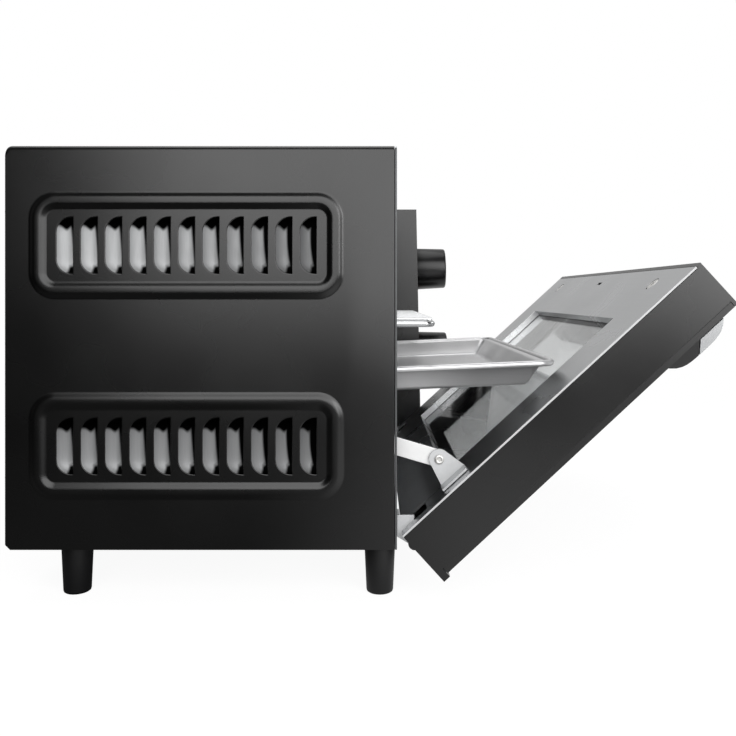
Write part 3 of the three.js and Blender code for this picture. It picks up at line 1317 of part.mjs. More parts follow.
// The arm hangs on its rivet, which has swung out with the door.
function addArm(group) {
  const rivet = new THREE.Vector3(rivetX() - PIVOT_X, 0, rivetZ() - PIVOT_Z);
  rivet.applyAxisAngle(new THREE.Vector3(0, 1, 0), THREE.MathUtils.degToRad(DOOR_OPEN_DEG));
  const arm = new THREE.Group();
  arm.position.set(PIVOT_X + rivet.x, 0, PIVOT_Z + rivet.z);
  arm.rotation.y = THREE.MathUtils.degToRad(ARM_SLOPE_DEG);
  add(arm, 'door_arm', doorArm(), satinSteel);
  group.add(arm);
}

function addTray(group) {
  const tray = new THREE.Group();
  tray.position.set(TRAY_FRONT, CAVITY_MIDDLE, TRAY_RIM_LEVEL + Math.tan(TRAY_TILT) * TRAY_FRONT);
  tray.rotation.y = -TRAY_TILT;
  add(tray, 'baking_tray', bakingTray(), brightTray);
  group.add(tray);
}

addCabinet(oven);
addControls(oven);
addDoor(oven);
addArm(oven);
add(oven, 'wire_rack', wireRack(), chromeWire);
addTray(oven);

// The origin is the middle of the underside of the box around the whole oven as it stands.
const model = new THREE.Group();
model.add(oven);
const bounds = new THREE.Box3().setFromObject(oven, true);
oven.position.x = -(bounds.min.x + bounds.max.x) / 2;
oven.position.y = -(bounds.min.y + bounds.max.y) / 2;

export default model;
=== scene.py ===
"""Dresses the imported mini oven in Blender: fine shapes, finishes, light and the camera."""

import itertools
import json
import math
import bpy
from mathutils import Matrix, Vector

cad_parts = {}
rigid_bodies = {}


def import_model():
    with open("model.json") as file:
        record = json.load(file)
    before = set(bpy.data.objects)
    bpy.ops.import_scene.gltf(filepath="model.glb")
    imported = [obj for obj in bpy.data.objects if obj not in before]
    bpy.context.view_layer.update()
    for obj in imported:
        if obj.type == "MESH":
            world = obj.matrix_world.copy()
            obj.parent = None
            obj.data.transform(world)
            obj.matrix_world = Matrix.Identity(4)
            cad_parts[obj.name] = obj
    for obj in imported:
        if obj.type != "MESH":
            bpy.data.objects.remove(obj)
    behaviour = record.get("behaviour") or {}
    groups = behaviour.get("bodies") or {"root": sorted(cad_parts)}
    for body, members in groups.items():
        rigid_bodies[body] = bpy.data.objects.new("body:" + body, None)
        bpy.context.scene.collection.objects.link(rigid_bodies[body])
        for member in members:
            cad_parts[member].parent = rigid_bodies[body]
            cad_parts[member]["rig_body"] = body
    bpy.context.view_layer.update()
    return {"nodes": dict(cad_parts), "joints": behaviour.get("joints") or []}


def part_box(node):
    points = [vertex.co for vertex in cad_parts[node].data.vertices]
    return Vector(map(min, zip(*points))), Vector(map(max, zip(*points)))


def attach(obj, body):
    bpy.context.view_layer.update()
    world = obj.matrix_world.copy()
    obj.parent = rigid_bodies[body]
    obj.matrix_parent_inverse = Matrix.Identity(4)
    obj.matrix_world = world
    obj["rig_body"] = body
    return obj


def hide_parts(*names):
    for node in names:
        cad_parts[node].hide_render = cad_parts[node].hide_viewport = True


bl_info = {
    "name": "Mini Oven",
    "version": (1, 0, 0),
    "blender": (4, 5, 0),
    "location": "3D View > Sidebar > Mini Oven",
    "description": "Builds the shapes, finishes, light and camera of a countertop mini oven",
    "category": "Object",
}

import bmesh
import bpy
from mathutils import Matrix, Vector

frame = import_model()
MM = 0.001

# The cabinet's planes, read from the frame
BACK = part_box("outer_casing")[0].x
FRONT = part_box("front_frame")[1].x
LEFT, RIGHT = (corner.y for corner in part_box("front_frame"))
BOTTOM, TOP = (corner.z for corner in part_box("front_frame"))

# The casing, in millimetres
CASING_FRONT_GAP = 1.3
CASING_FRONT = FRONT / MM - CASING_FRONT_GAP
CASING_BACK = BACK / MM
CASING_SHEET = 0.8
CASING_CORNER = 3.0
REAR_CORNER = 2.5
BOTTOM_RETURN = 8.0

# The louvres, in millimetres; the roll of their edge is how far out and how deep each line of it lies
LOUVRE_COUNT = 11
LOUVRE_PITCH = 12.175
LOUVRE_WIDTH = 8.15
LOUVRE_HEIGHT = 28.4
LOUVRE_CORNER = 7.5
LOUVRE_CORNER_REACH = LOUVRE_WIDTH * 0.95
LOUVRE_REAR_MARGIN = 25.75
LOUVRES_DOWN = (50.2, 150.6)
LOUVRE_ROLL = ((0.65, 0.0), (0.5, 0.0), (0.3, 0.015), (0.12, 0.09), (0.0, 0.25))
LOUVRE_LIP = LOUVRE_ROLL[-1][1]
LOUVRE_FOLD = 1.0
LOUVRE_COLUMNS = 12

# The beads, in millimetres; a slope is how far from the crest's middle and how high each line of it lies
BEAD_MARGIN_SIDE = 9.5
BEAD_MARGIN_END = 8.3
BEAD_CORNER = 9.0
BEAD_SLOPE = (
    (4.8, 0.0), (4.5, 0.0), (4.2, 0.035), (3.75, 0.14), (3.15, 0.37), (2.45, 0.66), (1.9, 0.85),
    (1.4, 0.95), (0.9, 1.0),
)

# Where the painted shade, pure black, starts at a louvre's top and at its front edge, as shares of half
# height and width
UPPER_PAINTED_SHADE = (0.73, 0.76)
LOWER_PAINTED_SHADE = (0.64, 0.72)

# The baking tray, in millimetres
TRAY_TILT = math.radians(2.4)
TRAY_FRONT = 86.5
TRAY_LENGTH = 162.0
TRAY_RIM_LEVEL = 114.6
TRAY_CORNER = 11.0
TRAY_CORNER_LEAST = 2.0
TRAY_FLANGE = 6.0
TRAY_FLARE = 5.0
TRAY_DEPTH = 13.6
TRAY_END_LEAN = 1.9
TRAY_ROLL = 1.8
TRAY_SHEET = 0.9
TRAY_UNDERSIDE = 0.8

# The wire rack, in millimetres
RACK_FRAME_RADIUS = 1.75
RACK_WIRE_RADIUS = 1.2
RACK_WIRE_COUNT = 14
RACK_WIRE_LIFT = 0.3
RACK_OVERHANG = 1.0
RACK_CORNER = 5.0

# The door, in millimetres: its pivot from the cabinet's front and the floor, and its outer seam
DOOR_SWING = math.radians(47.5)
DOOR_FACING = Vector((math.cos(DOOR_SWING), 0, -math.sin(DOOR_SWING)))
DOOR_PIVOT = (9.05, 29.05)
DOOR_BOTTOM = 27.6
DOOR_HEIGHT = 202.4
DOOR_TAPER = 1.3
DOOR_SEAM = 27.05
SEAL_LOW = 4.5
SEAL_HIGH = 199.8
SEAL_STEPS = 8
SEAL_SECTION = ((-0.45, 0.9), (-0.45, 0.12), (-0.25, 0.04), (0.25, 0.04), (0.45, 0.12), (0.45, 0.9))

# Turned pieces as pairs of radius and height, in millimetres
FOOT_NECK = BOTTOM / MM - 0.3
FOOT = [(0, 0.4), (3.2, 0.4), (3.8, 0.0), (5.4, 0.0), (6.2, 0.12), (6.75, 0.5), (7.0, 1.3)]
FOOT += [(8.1, FOOT_NECK - 0.5), (8.05, FOOT_NECK - 0.15), (7.8, FOOT_NECK), (7.0, FOOT_NECK)]
FOOT += [(7.0, FOOT_NECK + 1.2), (3.0, FOOT_NECK + 1.2), (3.0, FOOT_NECK + 2.9), (4.4, FOOT_NECK + 2.9)]
FOOT += [(3.0, FOOT_NECK + 5.8), (0, FOOT_NECK + 5.8)]
REAR_SCREW = [(0, 0), (1.4, 0.06), (2.3, 0.3), (2.9, 0.75), (3.2, 1.4), (3.2, 1.8), (1.8, 1.8), (1.8, 9.8)]
REAR_SCREW += [(0, 9.8)]
HANDLE_SCREW_RADIUS = 4.1
HANDLE_SCREW = [(0, 0.0), (2.6, 0.0), (3.7, 0.1), (HANDLE_SCREW_RADIUS, 0.4), (HANDLE_SCREW_RADIUS, 1.0)]
HANDLE_SCREW += [(2.0, 1.0), (2.0, 34.0), (0, 34.0)]
RIVET_HEAD = [(0, 0.45), (0.9, 0.4), (1.15, 0.1), (1.5, 0.0), (2.1, 0.1), (2.4, 0.35), (2.5, 0.8)]
RIVET_SHANK = 1.6
KNOB_FACE = 27.2
KNOB = [(0, 15.7), (3.3, 15.7), (3.3, 0.7), (18.4, 0.7), (18.85, 0.9), (19.0, 1.4), (18.0, 25.9)]
KNOB += [(17.9, 26.5), (17.6, 27.1), (17.1, 27.5), (16.5, 27.68), (15.8, 27.7), (15.2, 27.5)]
KNOB += [(14.6, KNOB_FACE), (0, KNOB_FACE)]

# Slots of a cross recess, and a knob's groove and mark: sizes along the axis and across it, in millimetres
CROSS_SLOTS = ((2.0, 0.7, 3.0), (2.0, 3.0, 0.7))
GROOVE_SIZE = (1.4, 1.7, 12.0)
GROOVE_OUT = 12.5
MARK_SIZE = (0.3, 1.5, 8.6)
MARK_OUT = 11.0
MARK_LEVEL = KNOB_FACE - 0.55

# Edges of the CAD meshes that are eased, and bends that are flat enough to be one face
EASED_ANGLE = math.radians(28)
FLAT_ANGLE = math.radians(0.6)

# The stage, in metres and watts: each lamp's name, place, aim, size and power
FLOOR_REACH = 6
LAMPS = (
    ("top_softbox", (-0.1, 0.1, 1.1), (0, 0, 0.1), (0.9, 0.9), 4.5),
    ("key_softbox", (0.18, -1.15, 0.58), (0.05, -0.19, 0.15), (1.4, 1.0), 16.0),
    ("side_strip", (0.72, -1.05, 0.42), (0.0, -0.19, 0.12), (0.3, 0.7), 3.6),
    ("front_softbox", (1.3, 0.3, 0.6), (0.1, 0, 0.12), (0.7, 0.7), 3.0),
)

# The photograph's viewpoint
PICTURE = 736
VANISHING_PIXEL = (375.0, 296.0)
FOCAL_PIXELS = 780.0
SENSOR = 36.0
CAMERA_DISTANCE = 0.390
CAMERA_X = FRONT - 0.011
CAMERA_Z = 0.154


# Finishes

FINISHES = {}
COLOURS = {}


def linear(code):
    """Turns an sRGB hex colour into the linear values that a shader takes."""
    values = [int(code[i:i + 2], 16) / 255 for i in (0, 2, 4)]
    return tuple(v / 12.92 if v <= 0.04045 else ((v + 0.055) / 1.055) ** 2.4 for v in values) + (1.0,)


def blank_tree(owner):
    """Gives a new material or world an empty node tree."""
    owner.use_nodes = True
    owner.node_tree.nodes.clear()
    return owner.node_tree


def node(tree, kind, inputs=None, **settings):
    """Adds one node with its settings, values and links."""
    made = tree.nodes.new(kind)
    for key, value in settings.items():
        setattr(made, key, value)
    for key, value in (inputs or {}).items():
        if isinstance(value, bpy.types.NodeSocket):
            tree.links.new(value, made.inputs[key])
        else:
            made.inputs[key].default_value = value
    return made


def finish(
    name, colour, metallic, roughness, grain, relief,
    swing=0.05, brush=(1, 1, 1), tone=0.12, patch=40, **extra,
):
    """Makes a material with a grain and its relief, both in millimetres.

    The grain is stretched by brush and changes the colour by the share tone. The roughness changes by swing
    over patches of the given millimetres. Further inputs of the shader are given by name.
    """
    material = bpy.data.materials.new(name)
    tree = blank_tree(material)
    place = node(tree, "ShaderNodeTexCoord")
    fine = node(tree, "ShaderNodeMapping", {"Vector": place.outputs["Object"], "Scale": brush})
    grains = node(tree, "ShaderNodeTexNoise", {
        "Vector": fine.outputs[0], "Scale": 1 / (grain * MM), "Detail": 3.0, "Roughness": 0.55,
    })
    patches = node(tree, "ShaderNodeTexNoise", {
        "Vector": place.outputs["Object"], "Scale": 1 / (patch * MM), "Detail": 2.0, "Roughness": 0.5,
    })
    gloss = node(tree, "ShaderNodeMapRange", {
        "Value": patches.outputs["Fac"], "From Min": 0.3, "From Max": 0.7,
        "To Min": max(0.02, roughness - swing), "To Max": roughness + swing,
    })
    base = linear(COLOURS[colour])[:3]
    shade = node(tree, "ShaderNodeMix", {
        "Factor": grains.outputs["Fac"],
        "A": tuple(c * (1 - tone) for c in base) + (1.0,),
        "B": tuple(min(1.0, c * (1 + tone)) for c in base) + (1.0,),
    }, data_type="RGBA")
    bump = node(tree, "ShaderNodeBump", {
        "Height": grains.outputs["Fac"], "Strength": 0.6, "Distance": relief * MM,
    })
    shader = node(tree, "ShaderNodeBsdfPrincipled", {
        "Base Color": shade.outputs["Result"], "Metallic": metallic, "Roughness": gloss.outputs["Result"],
        "Normal": bump.outputs[0], **extra,
    })
    node(tree, "ShaderNodeOutputMaterial", {"Surface": shader.outputs[0]})
    return material


def powder_coated_steel():
    """Black polyester powder baked on steel: satin, with a faint orange peel of about a millimetre."""
    return finish("powder_coated_steel", "enamel", 0.0, 0.27, 1.4, 0.008, swing=0.02, tone=0.06)


def moulded_abs():
    """ABS moulded in a spark-eroded tool: dull black with a fine grain, drawn coarser than its 0.1 mm."""
    return finish("moulded_abs", "plastic", 0.0, 0.46, 0.8, 0.02, tone=0.1, **{"Specular IOR Level": 0.35})


def moulded_phenolic():
    """Phenolic resin from a polished tool: smooth and a little glossy."""
    return finish("moulded_phenolic", "plastic", 0.0, 0.3, 2.0, 0.004, tone=0.05, **{
        "Specular IOR Level": 0.4,
    })


def brushed_stainless():
    """Stainless steel sheet brushed along the door's width: satin, with long fine lines."""
    return finish("brushed_stainless", "steel", 1.0, 0.3, 0.9, 0.003, brush=(1, 0.02, 1), tone=0.05)


def rolled_stainless():
    """Stainless strip as rolled, for the arm: bright and faintly mottled."""
    return finish("rolled_stainless", "bright", 0.35, 0.45, 2.2, 0.006, tone=0.04)


def zinc_plated_steel():
    """Zinc plate on the pressed brackets: a shade duller than the arm."""
    return finish("zinc_plated_steel", "plate", 0.35, 0.45, 1.8, 0.008, tone=0.08, patch=9)


def blasted_stainless():
    """Stainless steel blasted with glass beads, on the handle's trim: even, soft and grey."""
    return finish("blasted_stainless", "trim", 0.9, 0.42, 0.7, 0.006, tone=0.05)


def shaded_rim_zinc():
    """The frame's cut rim with painted shade: dark grey beside the black casing."""
    return finish("shaded_rim_zinc", "rim", 0.8, 0.5, 2.0, 0.005, tone=0.1)


def galvanised_steel():
    """Hot-dip galvanised sheet: grey, with crystal patches about ten millimetres across."""
    material = finish("galvanised_steel", "zinc", 1.0, 0.42, 3.0, 0.005, tone=0.08)
    tree = material.node_tree
    place = node(tree, "ShaderNodeTexCoord")
    crystals = node(tree, "ShaderNodeTexVoronoi", {
        "Vector": place.outputs["Object"], "Scale": 1 / (10 * MM),
    })
    grey = node(tree, "ShaderNodeRGBToBW", {"Color": crystals.outputs["Color"]})
    gloss = node(tree, "ShaderNodeMapRange", {"Value": grey.outputs[0], "To Min": 0.34, "To Max": 0.5})
    shader = next(n for n in tree.nodes if n.type == "BSDF_PRINCIPLED")
    tree.links.new(gloss.outputs["Result"], shader.inputs["Roughness"])
    return material


def louvre_steel_with_painted_shade():
    """Pale, soft steel on the louvres, with painted shade: black in their corners and along their front edge,
    and darker steel towards the door.
    """
    material = finish("louvre_steel_with_painted_shade", "louvre", 0.3, 0.5, 0.6, 0.01, brush=(1, 1, 0.06), patch=14)
    tree = material.node_tree
    shader = next(n for n in tree.nodes if n.type == "BSDF_PRINCIPLED")
    bare = shader.inputs["Base Color"].links[0].from_socket
    # Painted shade: black put in the louvres' corners and along their front edge.
    painted_shade = node(tree, "ShaderNodeAttribute", attribute_name="painted_shade")
    # Painted shade: the steel is mixed towards a dark grey towards the door and high up in the lower group.
    shine = node(tree, "ShaderNodeAttribute", attribute_name="shine")
    painted_louvre_shading = node(tree, "ShaderNodeMix", {
        "Factor": shine.outputs["Fac"], "A": linear(COLOURS["dull"]), "B": bare,
    }, data_type="RGBA")
    cover = node(tree, "ShaderNodeMapRange", {
        "Value": painted_shade.outputs["Fac"], "From Min": -0.1, "From Max": 0.06,
    }, interpolation_type="SMOOTHSTEP")
    shade = node(tree, "ShaderNodeMix", {
        "Factor": cover.outputs["Result"], "A": painted_louvre_shading.outputs["Result"], "B": linear(COLOURS["enamel"]),
    }, data_type="RGBA")
    metal = node(tree, "ShaderNodeMapRange", {
        "Value": cover.outputs["Result"], "To Min": 0.3, "To Max": 1.0,
    })
    tree.links.new(shade.outputs["Result"], shader.inputs["Base Color"])
    tree.links.new(metal.outputs["Result"], shader.inputs["Metallic"])
    return material


def chromed_wire():
    """Chrome plate on drawn wire: a near mirror."""
    return finish("chromed_wire", "chrome", 1.0, 0.2, 1.5, 0.003, swing=0.03, tone=0.04)


def satin_aluminium():
    """Pressed aluminium: bright satin with fine scratches along the tray, from use."""
    return finish("satin_aluminium", "aluminium", 0.72, 0.33, 0.9, 0.005, brush=(0.03, 1, 1), tone=0.06)


def painted_highlight_edge():
    """The cut edge of the door's lining, with a painted highlight: a pale line beside the black shell."""
    return finish("painted_highlight_edge", "edge", 0.2, 0.5, 1.2, 0.004, tone=0.05)


def nickel_plate():
    """Nickel plate on screws, pins and rivets: warm and bright."""
    return finish("nickel_plate", "nickel", 0.75, 0.32, 1.0, 0.004, tone=0.05)


def blackened_steel():
    """Black zinc on the rear screws: dark with a dull metal shine."""
    return finish("blackened_steel", "black_zinc", 0.9, 0.38, 1.0, 0.006, tone=0.1)


def oxidised_sheath():
    """A heating tube's alloy sheath after firing: brown-grey, with uneven heat tint."""
    return finish("oxidised_sheath", "sheath", 0.8, 0.5, 4.0, 0.01, tone=0.3, patch=25)


def silicone_rubber():
    """Black silicone: matt, faintly powdery."""
    return finish("silicone_rubber", "plastic", 0.0, 0.7, 0.8, 0.02, tone=0.12)


def steatite():
    """Pressed ceramic and resin of the works: cream and matt."""
    return finish("steatite", "ceramic", 0.0, 0.6, 1.2, 0.02, tone=0.06)


def clear_float_glass():
    """Clear toughened glass: smooth, with the faintest wave from the float."""
    return finish("clear_float_glass", "clear", 0.0, 0.02, 60, 0.004, swing=0.0, tone=0.01, **{
        "Transmission Weight": 1.0, "IOR": 1.5,
    })


def smoked_glass():
    """Toughened glass tinted in the mass: grey against the light, nearly black by day."""
    return finish("smoked_glass", "smoke", 0.0, 0.03, 60, 0.004, swing=0.0, tone=0.01, **{
        "Transmission Weight": 0.85, "IOR": 1.5, "Alpha": 0.56,
    })


def glass_border():
    """Black ceramic enamel fired on to the rim of the front pane: satin, close to the shell's powder finish.
    """
    return finish("glass_border", "enamel", 0.0, 0.33, 2.0, 0.002, swing=0.02, tone=0.05)


def amber_polycarbonate():
    """Amber polycarbonate over the lamp: glossy and half clear."""
    return finish("amber_polycarbonate", "amber", 0.0, 0.12, 2.0, 0.003, tone=0.05, **{
        "Transmission Weight": 0.4, "IOR": 1.58,
    })


def white_marking():
    """Pad-printed ink: flat white."""
    return finish("white_marking", "ink", 0.0, 0.5, 0.6, 0.002, tone=0.03)


def use(maker):
    """Gives the material of one of the functions above, made the first time it is asked for."""
    if maker not in FINISHES:
        FINISHES[maker] = maker()
    return FINISHES[maker]


# Meshes

def piece(name, mesh, makers, body, nodes=(), sharp=38):
    """Links a mesh as a piece that rides on a body and stands for its CAD nodes."""
    if sharp:
        mesh.shade_smooth()
        mesh.set_sharp_from_angle(angle=math.radians(sharp))
    made = bpy.data.objects.new(name, mesh)
    bpy.context.scene.collection.objects.link(made)
    for maker in makers:
        mesh.materials.append(use(maker))
    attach(made, body)
    if nodes:
        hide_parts(*nodes)


def mesh_from(name, points, faces):
    """Makes a mesh from points in metres, with its normals turned outwards."""
    mesh = bpy.data.meshes.new(name)
    mesh.from_pydata([tuple(p) for p in points], [], faces)
    work = bmesh.new()
    work.from_mesh(mesh)
    bmesh.ops.remove_doubles(work, verts=work.verts, dist=1e-7)
    bmesh.ops.recalc_face_normals(work, faces=work.faces)
    work.to_mesh(mesh)
    work.free()
    return mesh


def baked(made):
    """Applies the modifiers of a loose object and gives its mesh."""
    bpy.context.scene.collection.objects.link(made)
    bpy.context.view_layer.update()
    graph = bpy.context.evaluated_depsgraph_get()
    mesh = bpy.data.meshes.new_from_object(made.evaluated_get(graph))
    bpy.data.objects.remove(made)
    return mesh


def eased(node_name, width, segments=2):
    """Copies a CAD node's mesh with its sharp edges eased by a small radius in millimetres."""
    mesh = frame["nodes"][node_name].data.copy()
    mesh.materials.clear()
    work = bmesh.new()
    work.from_mesh(mesh)
    bmesh.ops.remove_doubles(work, verts=work.verts, dist=2e-6)
    bmesh.ops.dissolve_limit(
        work, angle_limit=FLAT_ANGLE, use_dissolve_boundaries=False, verts=work.verts, edges=work.edges,
    )
    work.to_mesh(mesh)
    work.free()
    mesh.shade_smooth()
    mesh.set_sharp_from_angle(angle=EASED_ANGLE)
    made = bpy.data.objects.new("eased", mesh)
    ease = made.modifiers.new("ease", "BEVEL")
    ease.width = width * MM
    ease.segments = segments
    ease.limit_method = "ANGLE"
    ease.angle_limit = EASED_ANGLE
    ease.use_clamp_overlap = True
    flatten = made.modifiers.new("flatten", "WEIGHTED_NORMAL")
    flatten.mode = "FACE_AREA"
    flatten.weight = 90
    flatten.keep_sharp = False
    return baked(made)


def dress(node_name, maker, width, segments=2):
    """Replaces a CAD node by its copy with eased edges and a finish."""
    body = frame["nodes"][node_name]["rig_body"]
    piece(node_name + "_dressed", eased(node_name, width, segments), [maker], body, [node_name], sharp=None)


def dress_with_rim(name, node_name, width, rim, makers):
    """Replaces a CAD node by its eased copy, with a second finish on the edges at its ends along Y."""
    mesh = eased(node_name, width)
    low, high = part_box(node_name)
    for polygon in mesh.polygons:
        at_end = min(polygon.center.y - low.y, high.y - polygon.center.y) < rim * MM
        polygon.material_index = 1 if at_end and abs(polygon.normal.y) > 0.3 else 0
    piece(name, mesh, makers, frame["nodes"][node_name]["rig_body"], [node_name], sharp=None)


def clothe(node_name, maker):
    """Gives a CAD node that keeps its shape a finish."""
    mesh = frame["nodes"][node_name]
    for slot in mesh.material_slots:
        slot.material = use(maker)
    if not mesh.material_slots:
        mesh.data.materials.append(use(maker))


def skinned(rings, closed=False, first=False, last=False):
    """Skins rings with the same number of points, with a face over the first or the last if asked."""
    size = len(rings[0])
    faces = []
    for k in range(len(rings) if closed else len(rings) - 1):
        n = (k + 1) % len(rings)
        for i in range(size):
            j = (i + 1) % size
            faces.append((k * size + i, k * size + j, n * size + j, n * size + i))
    if first:
        faces.append(tuple(range(size)))
    if last:
        faces.append(tuple((len(rings) - 1) * size + i for i in range(size)))
    return [point for ring in rings for point in ring], faces


def joined_parts(parts):
    """Puts several shapes in one list of points and faces."""
    points, faces = [], []
    for part_points, part_faces in parts:
        shift = len(points)
        points += part_points
        faces += [tuple(i + shift for i in face) for face in part_faces]
    return points, faces


def quarter(steps):
    """The angles of a quarter turn in even steps."""
    return [i / steps * math.pi / 2 for i in range(steps + 1)]


def circle(radius, steps):
    """Points evenly round a circle."""
    turns = (2 * math.pi * i / steps for i in range(steps))
    return [(radius * math.cos(turn), radius * math.sin(turn)) for turn in turns]


def round_rect(x0, x1, y0, y1, radius, steps):
    """A rounded rectangle as a loop of points, with the same count whatever its size."""
    loop = []
    corners = ((x1 - radius, y0 + radius, 3), (x1 - radius, y1 - radius, 0), (x0 + radius, y1 - radius, 1),
               (x0 + radius, y0 + radius, 2))
    for cx, cy, quarters in corners:
        for i in range(steps + 1):
            angle = (quarters + i / steps) * math.pi / 2
            loop.append((cx + radius * math.cos(angle), cy + radius * math.sin(angle)))
    return loop


def lathe(profile, centre, axis, steps=64):
    """Turns pairs of radius and height, in millimetres, about an axis through a point in metres."""
    turn = Vector((0, 0, 1)).rotation_difference(Vector(axis)).to_matrix()
    rings = []
    for radius, height in profile:
        flat = circle(radius, steps)
        rings.append([Vector(centre) + turn @ (Vector((x, y, height)) * MM) for x, y in flat])
    return skinned(rings)


def block(centre, axes, sizes):
    """A box about a point, along three axes, with its sizes in millimetres."""
    points = []
    for parts in itertools.product((-0.5, 0.5), repeat=3):
        steps = (Vector(axis) * size * part * MM for axis, size, part in zip(axes, sizes, parts))
        points.append(Vector(centre) + sum(steps, Vector()))
    return points, [(0, 1, 3, 2), (4, 6, 7, 5), (0, 4, 5, 1), (2, 3, 7, 6), (0, 2, 6, 4), (1, 5, 7, 3)]


def carved(name, points, faces, cutters):
    """Cuts closed shapes out of a closed shape."""
    made = bpy.data.objects.new(name, mesh_from(name, points, faces))
    tools = []
    for cutter_points, cutter_faces in cutters:
        tool = bpy.data.objects.new("cutter", mesh_from("cutter", cutter_points, cutter_faces))
        bpy.context.scene.collection.objects.link(tool)
        tools.append(tool)
        bite = made.modifiers.new("bite", "BOOLEAN")
        bite.operation = "DIFFERENCE"
        bite.solver = "EXACT"
        bite.object = tool
    mesh = baked(made)
    for tool in tools:
        bpy.data.objects.remove(tool)
    return mesh


# Casing

def add_loop(work, loop, level, place):
    """Adds a loop of vertices at a depth under the casing's face."""
    return [work.verts.new(place(x, z, level)) for x, z in loop]


def add_strip(work, first, second, closed, index=0):
    """Joins two rows of vertices with faces."""
    count = len(first)
    for i in range(count if closed else count - 1):
        j = (i + 1) % count
        face = work.faces.new((first[i], first[j], second[j], second[i]))
        face.material_index = index


def fill_flat(work, loops, normal):
    """Fills the flat face between loops that lie in one plane."""
    edges = []
    for loop in loops:
        for first, second in zip(loop, loop[1:] + loop[:1]):
            edges.append(work.edges.get((first, second)) or work.edges.new((first, second)))
    bmesh.ops.triangle_fill(work, use_beauty=True, use_dissolve=False, edges=edges, normal=normal)


def louvre_edge(rear, middle, spread):
    """A louvre's outline from its lower front corner round the rear to its upper front corner."""
    front = rear + LOUVRE_WIDTH + spread
    half = LOUVRE_HEIGHT / 2 + spread
    reach = LOUVRE_CORNER_REACH + spread
    lower = []
    for turn in quarter(7):
        x = rear - spread + reach * (1 - math.sin(turn))
        lower.append((x, middle - half + LOUVRE_CORNER * (1 - math.cos(turn))))
    shares = (-0.66, -0.33, 0, 0.33, 0.66)
    straight = [(rear - spread, middle + share * (half - LOUVRE_CORNER)) for share in shares]
    upper = [(x, 2 * middle - z) for x, z in reversed(lower)]
    return [(front, middle - half)] + lower + straight + upper + [(front, middle + half)]


def upper_group(middle):
    """Whether a louvre's middle lies in the upper of the two groups."""
    return middle > (TOP + BOTTOM) / 2 / MM


def painted_shade_reach(middle, across, up, order):
    """How far a spot lies inside the painted shade, which is painted black in a louvre's corners and along
    its front edge.

    across runs from 0 at the rear to 1 at the front, up from -1 to 1, and order from the rear louvre to the
    front one. The cap at the top has a notch in its lower edge.
    """
    cap, band = UPPER_PAINTED_SHADE if upper_group(middle) else LOWER_PAINTED_SHADE
    notch = 0.16 * math.exp(-((across - 0.48) / 0.2) ** 2)
    upper_corner = min(up - cap + notch, across + 0.1)
    front_edge = across - band - 0.12 * (0.5 - up) + 0.2 * order ** 3 * (1 - up ** 2)
    lower_corner = min(-0.72 - up, (across - 0.66) * 0.8)
    return max(upper_corner, front_edge, lower_corner)


def painted_louvre_light(middle, up, order):
    """How bright a louvre's steel is painted, as painted shade: less towards the door, and least high up in
    the lower group.
    """
    if upper_group(middle):
        return 1 - 0.67 * order ** 1.5
    return (0.6 - 0.24 * order ** 1.8) * (1 - 0.3 * up)


def louvre_level(share, up, depth):
    """How deep a louvre lies at a share of the way to its front edge: full depth for most of its height."""
    reach = depth * math.sqrt(max(0.0, 1 - min(1.0, abs(up)) ** 5))
    ramp = math.sin(min(1.0, share * 1.05) * math.pi / 2) ** 0.8
    return LOUVRE_LIP + max(0.0, reach - LOUVRE_LIP) * ramp


def add_louvre(work, rear, middle, place, depth, order):
    """Adds a pressed louvre and gives the loop that the flat face joins on to."""
    front = rear + LOUVRE_WIDTH
    rows = [add_loop(work, louvre_edge(rear, middle, out), level, place) for out, level in LOUVRE_ROLL]
    for outer, inner in zip(rows, rows[1:]):
        add_strip(work, outer, inner, True)
    lip = rows[-1]
    top, bottom = add_loop(
        work, [(front, middle + LOUVRE_HEIGHT / 2), (front, middle - LOUVRE_HEIGHT / 2)], LOUVRE_FOLD, place,
    )
    work.faces.new((lip[-1], lip[0], bottom, top))
    # Painted shade at each spot: how deep it lies in the black corners and front edge.
    painted_shade = work.verts.layers.float["painted_shade"]
    # Painted shade at each spot: how light its steel is painted.
    shine = work.verts.layers.float["shine"]
    previous = None
    for column in range(LOUVRE_COLUMNS + 1):
        share = column / LOUVRE_COLUMNS
        row = []
        for (x, z), spot in zip(louvre_edge(rear, middle, 0.0), lip):
            ahead = x + (front - x) * share
            up = (z - middle) * 2 / LOUVRE_HEIGHT
            if column:
                spot = work.verts.new(place(ahead, z, louvre_level(share, up, depth)))
            spot[painted_shade] = painted_shade_reach(middle, (ahead - rear) / LOUVRE_WIDTH, up, order)
            spot[shine] = painted_louvre_light(middle, up, order)
            row.append(spot)
        if previous:
            add_strip(work, previous, row, False, 1)
        previous = row
    return rows[0]


def add_bead(work, rear, middle, place, height):
    """Adds the raised ring around a louvre group and gives its outer and inner loops."""
    span = (LOUVRE_COUNT - 1) * LOUVRE_PITCH + LOUVRE_WIDTH
    half = LOUVRE_HEIGHT / 2 + BEAD_MARGIN_END
    inner_slope = tuple((-out, rise) for out, rise in reversed(BEAD_SLOPE))
    rows = []
    for out, rise in BEAD_SLOPE + ((0.0, 1.0),) + inner_slope:
        loop = round_rect(
            rear - BEAD_MARGIN_SIDE - out, rear + span + BEAD_MARGIN_SIDE + out,
            middle - half - out, middle + half + out, BEAD_CORNER + out, 12,
        )
        rows.append(add_loop(work, loop, -height * rise, place))
    for outer, inner in zip(rows, rows[1:]):
        add_strip(work, outer, inner, True)
    return rows[0], rows[-1]


def rear_bend():
    """The bend at the casing's rear: where each line of it lies, and how far it has dropped."""
    bend = []
    for turn in quarter(4):
        bend.append((CASING_BACK + REAR_CORNER * (1 - math.sin(turn)), REAR_CORNER * (1 - math.cos(turn))))
    return bend


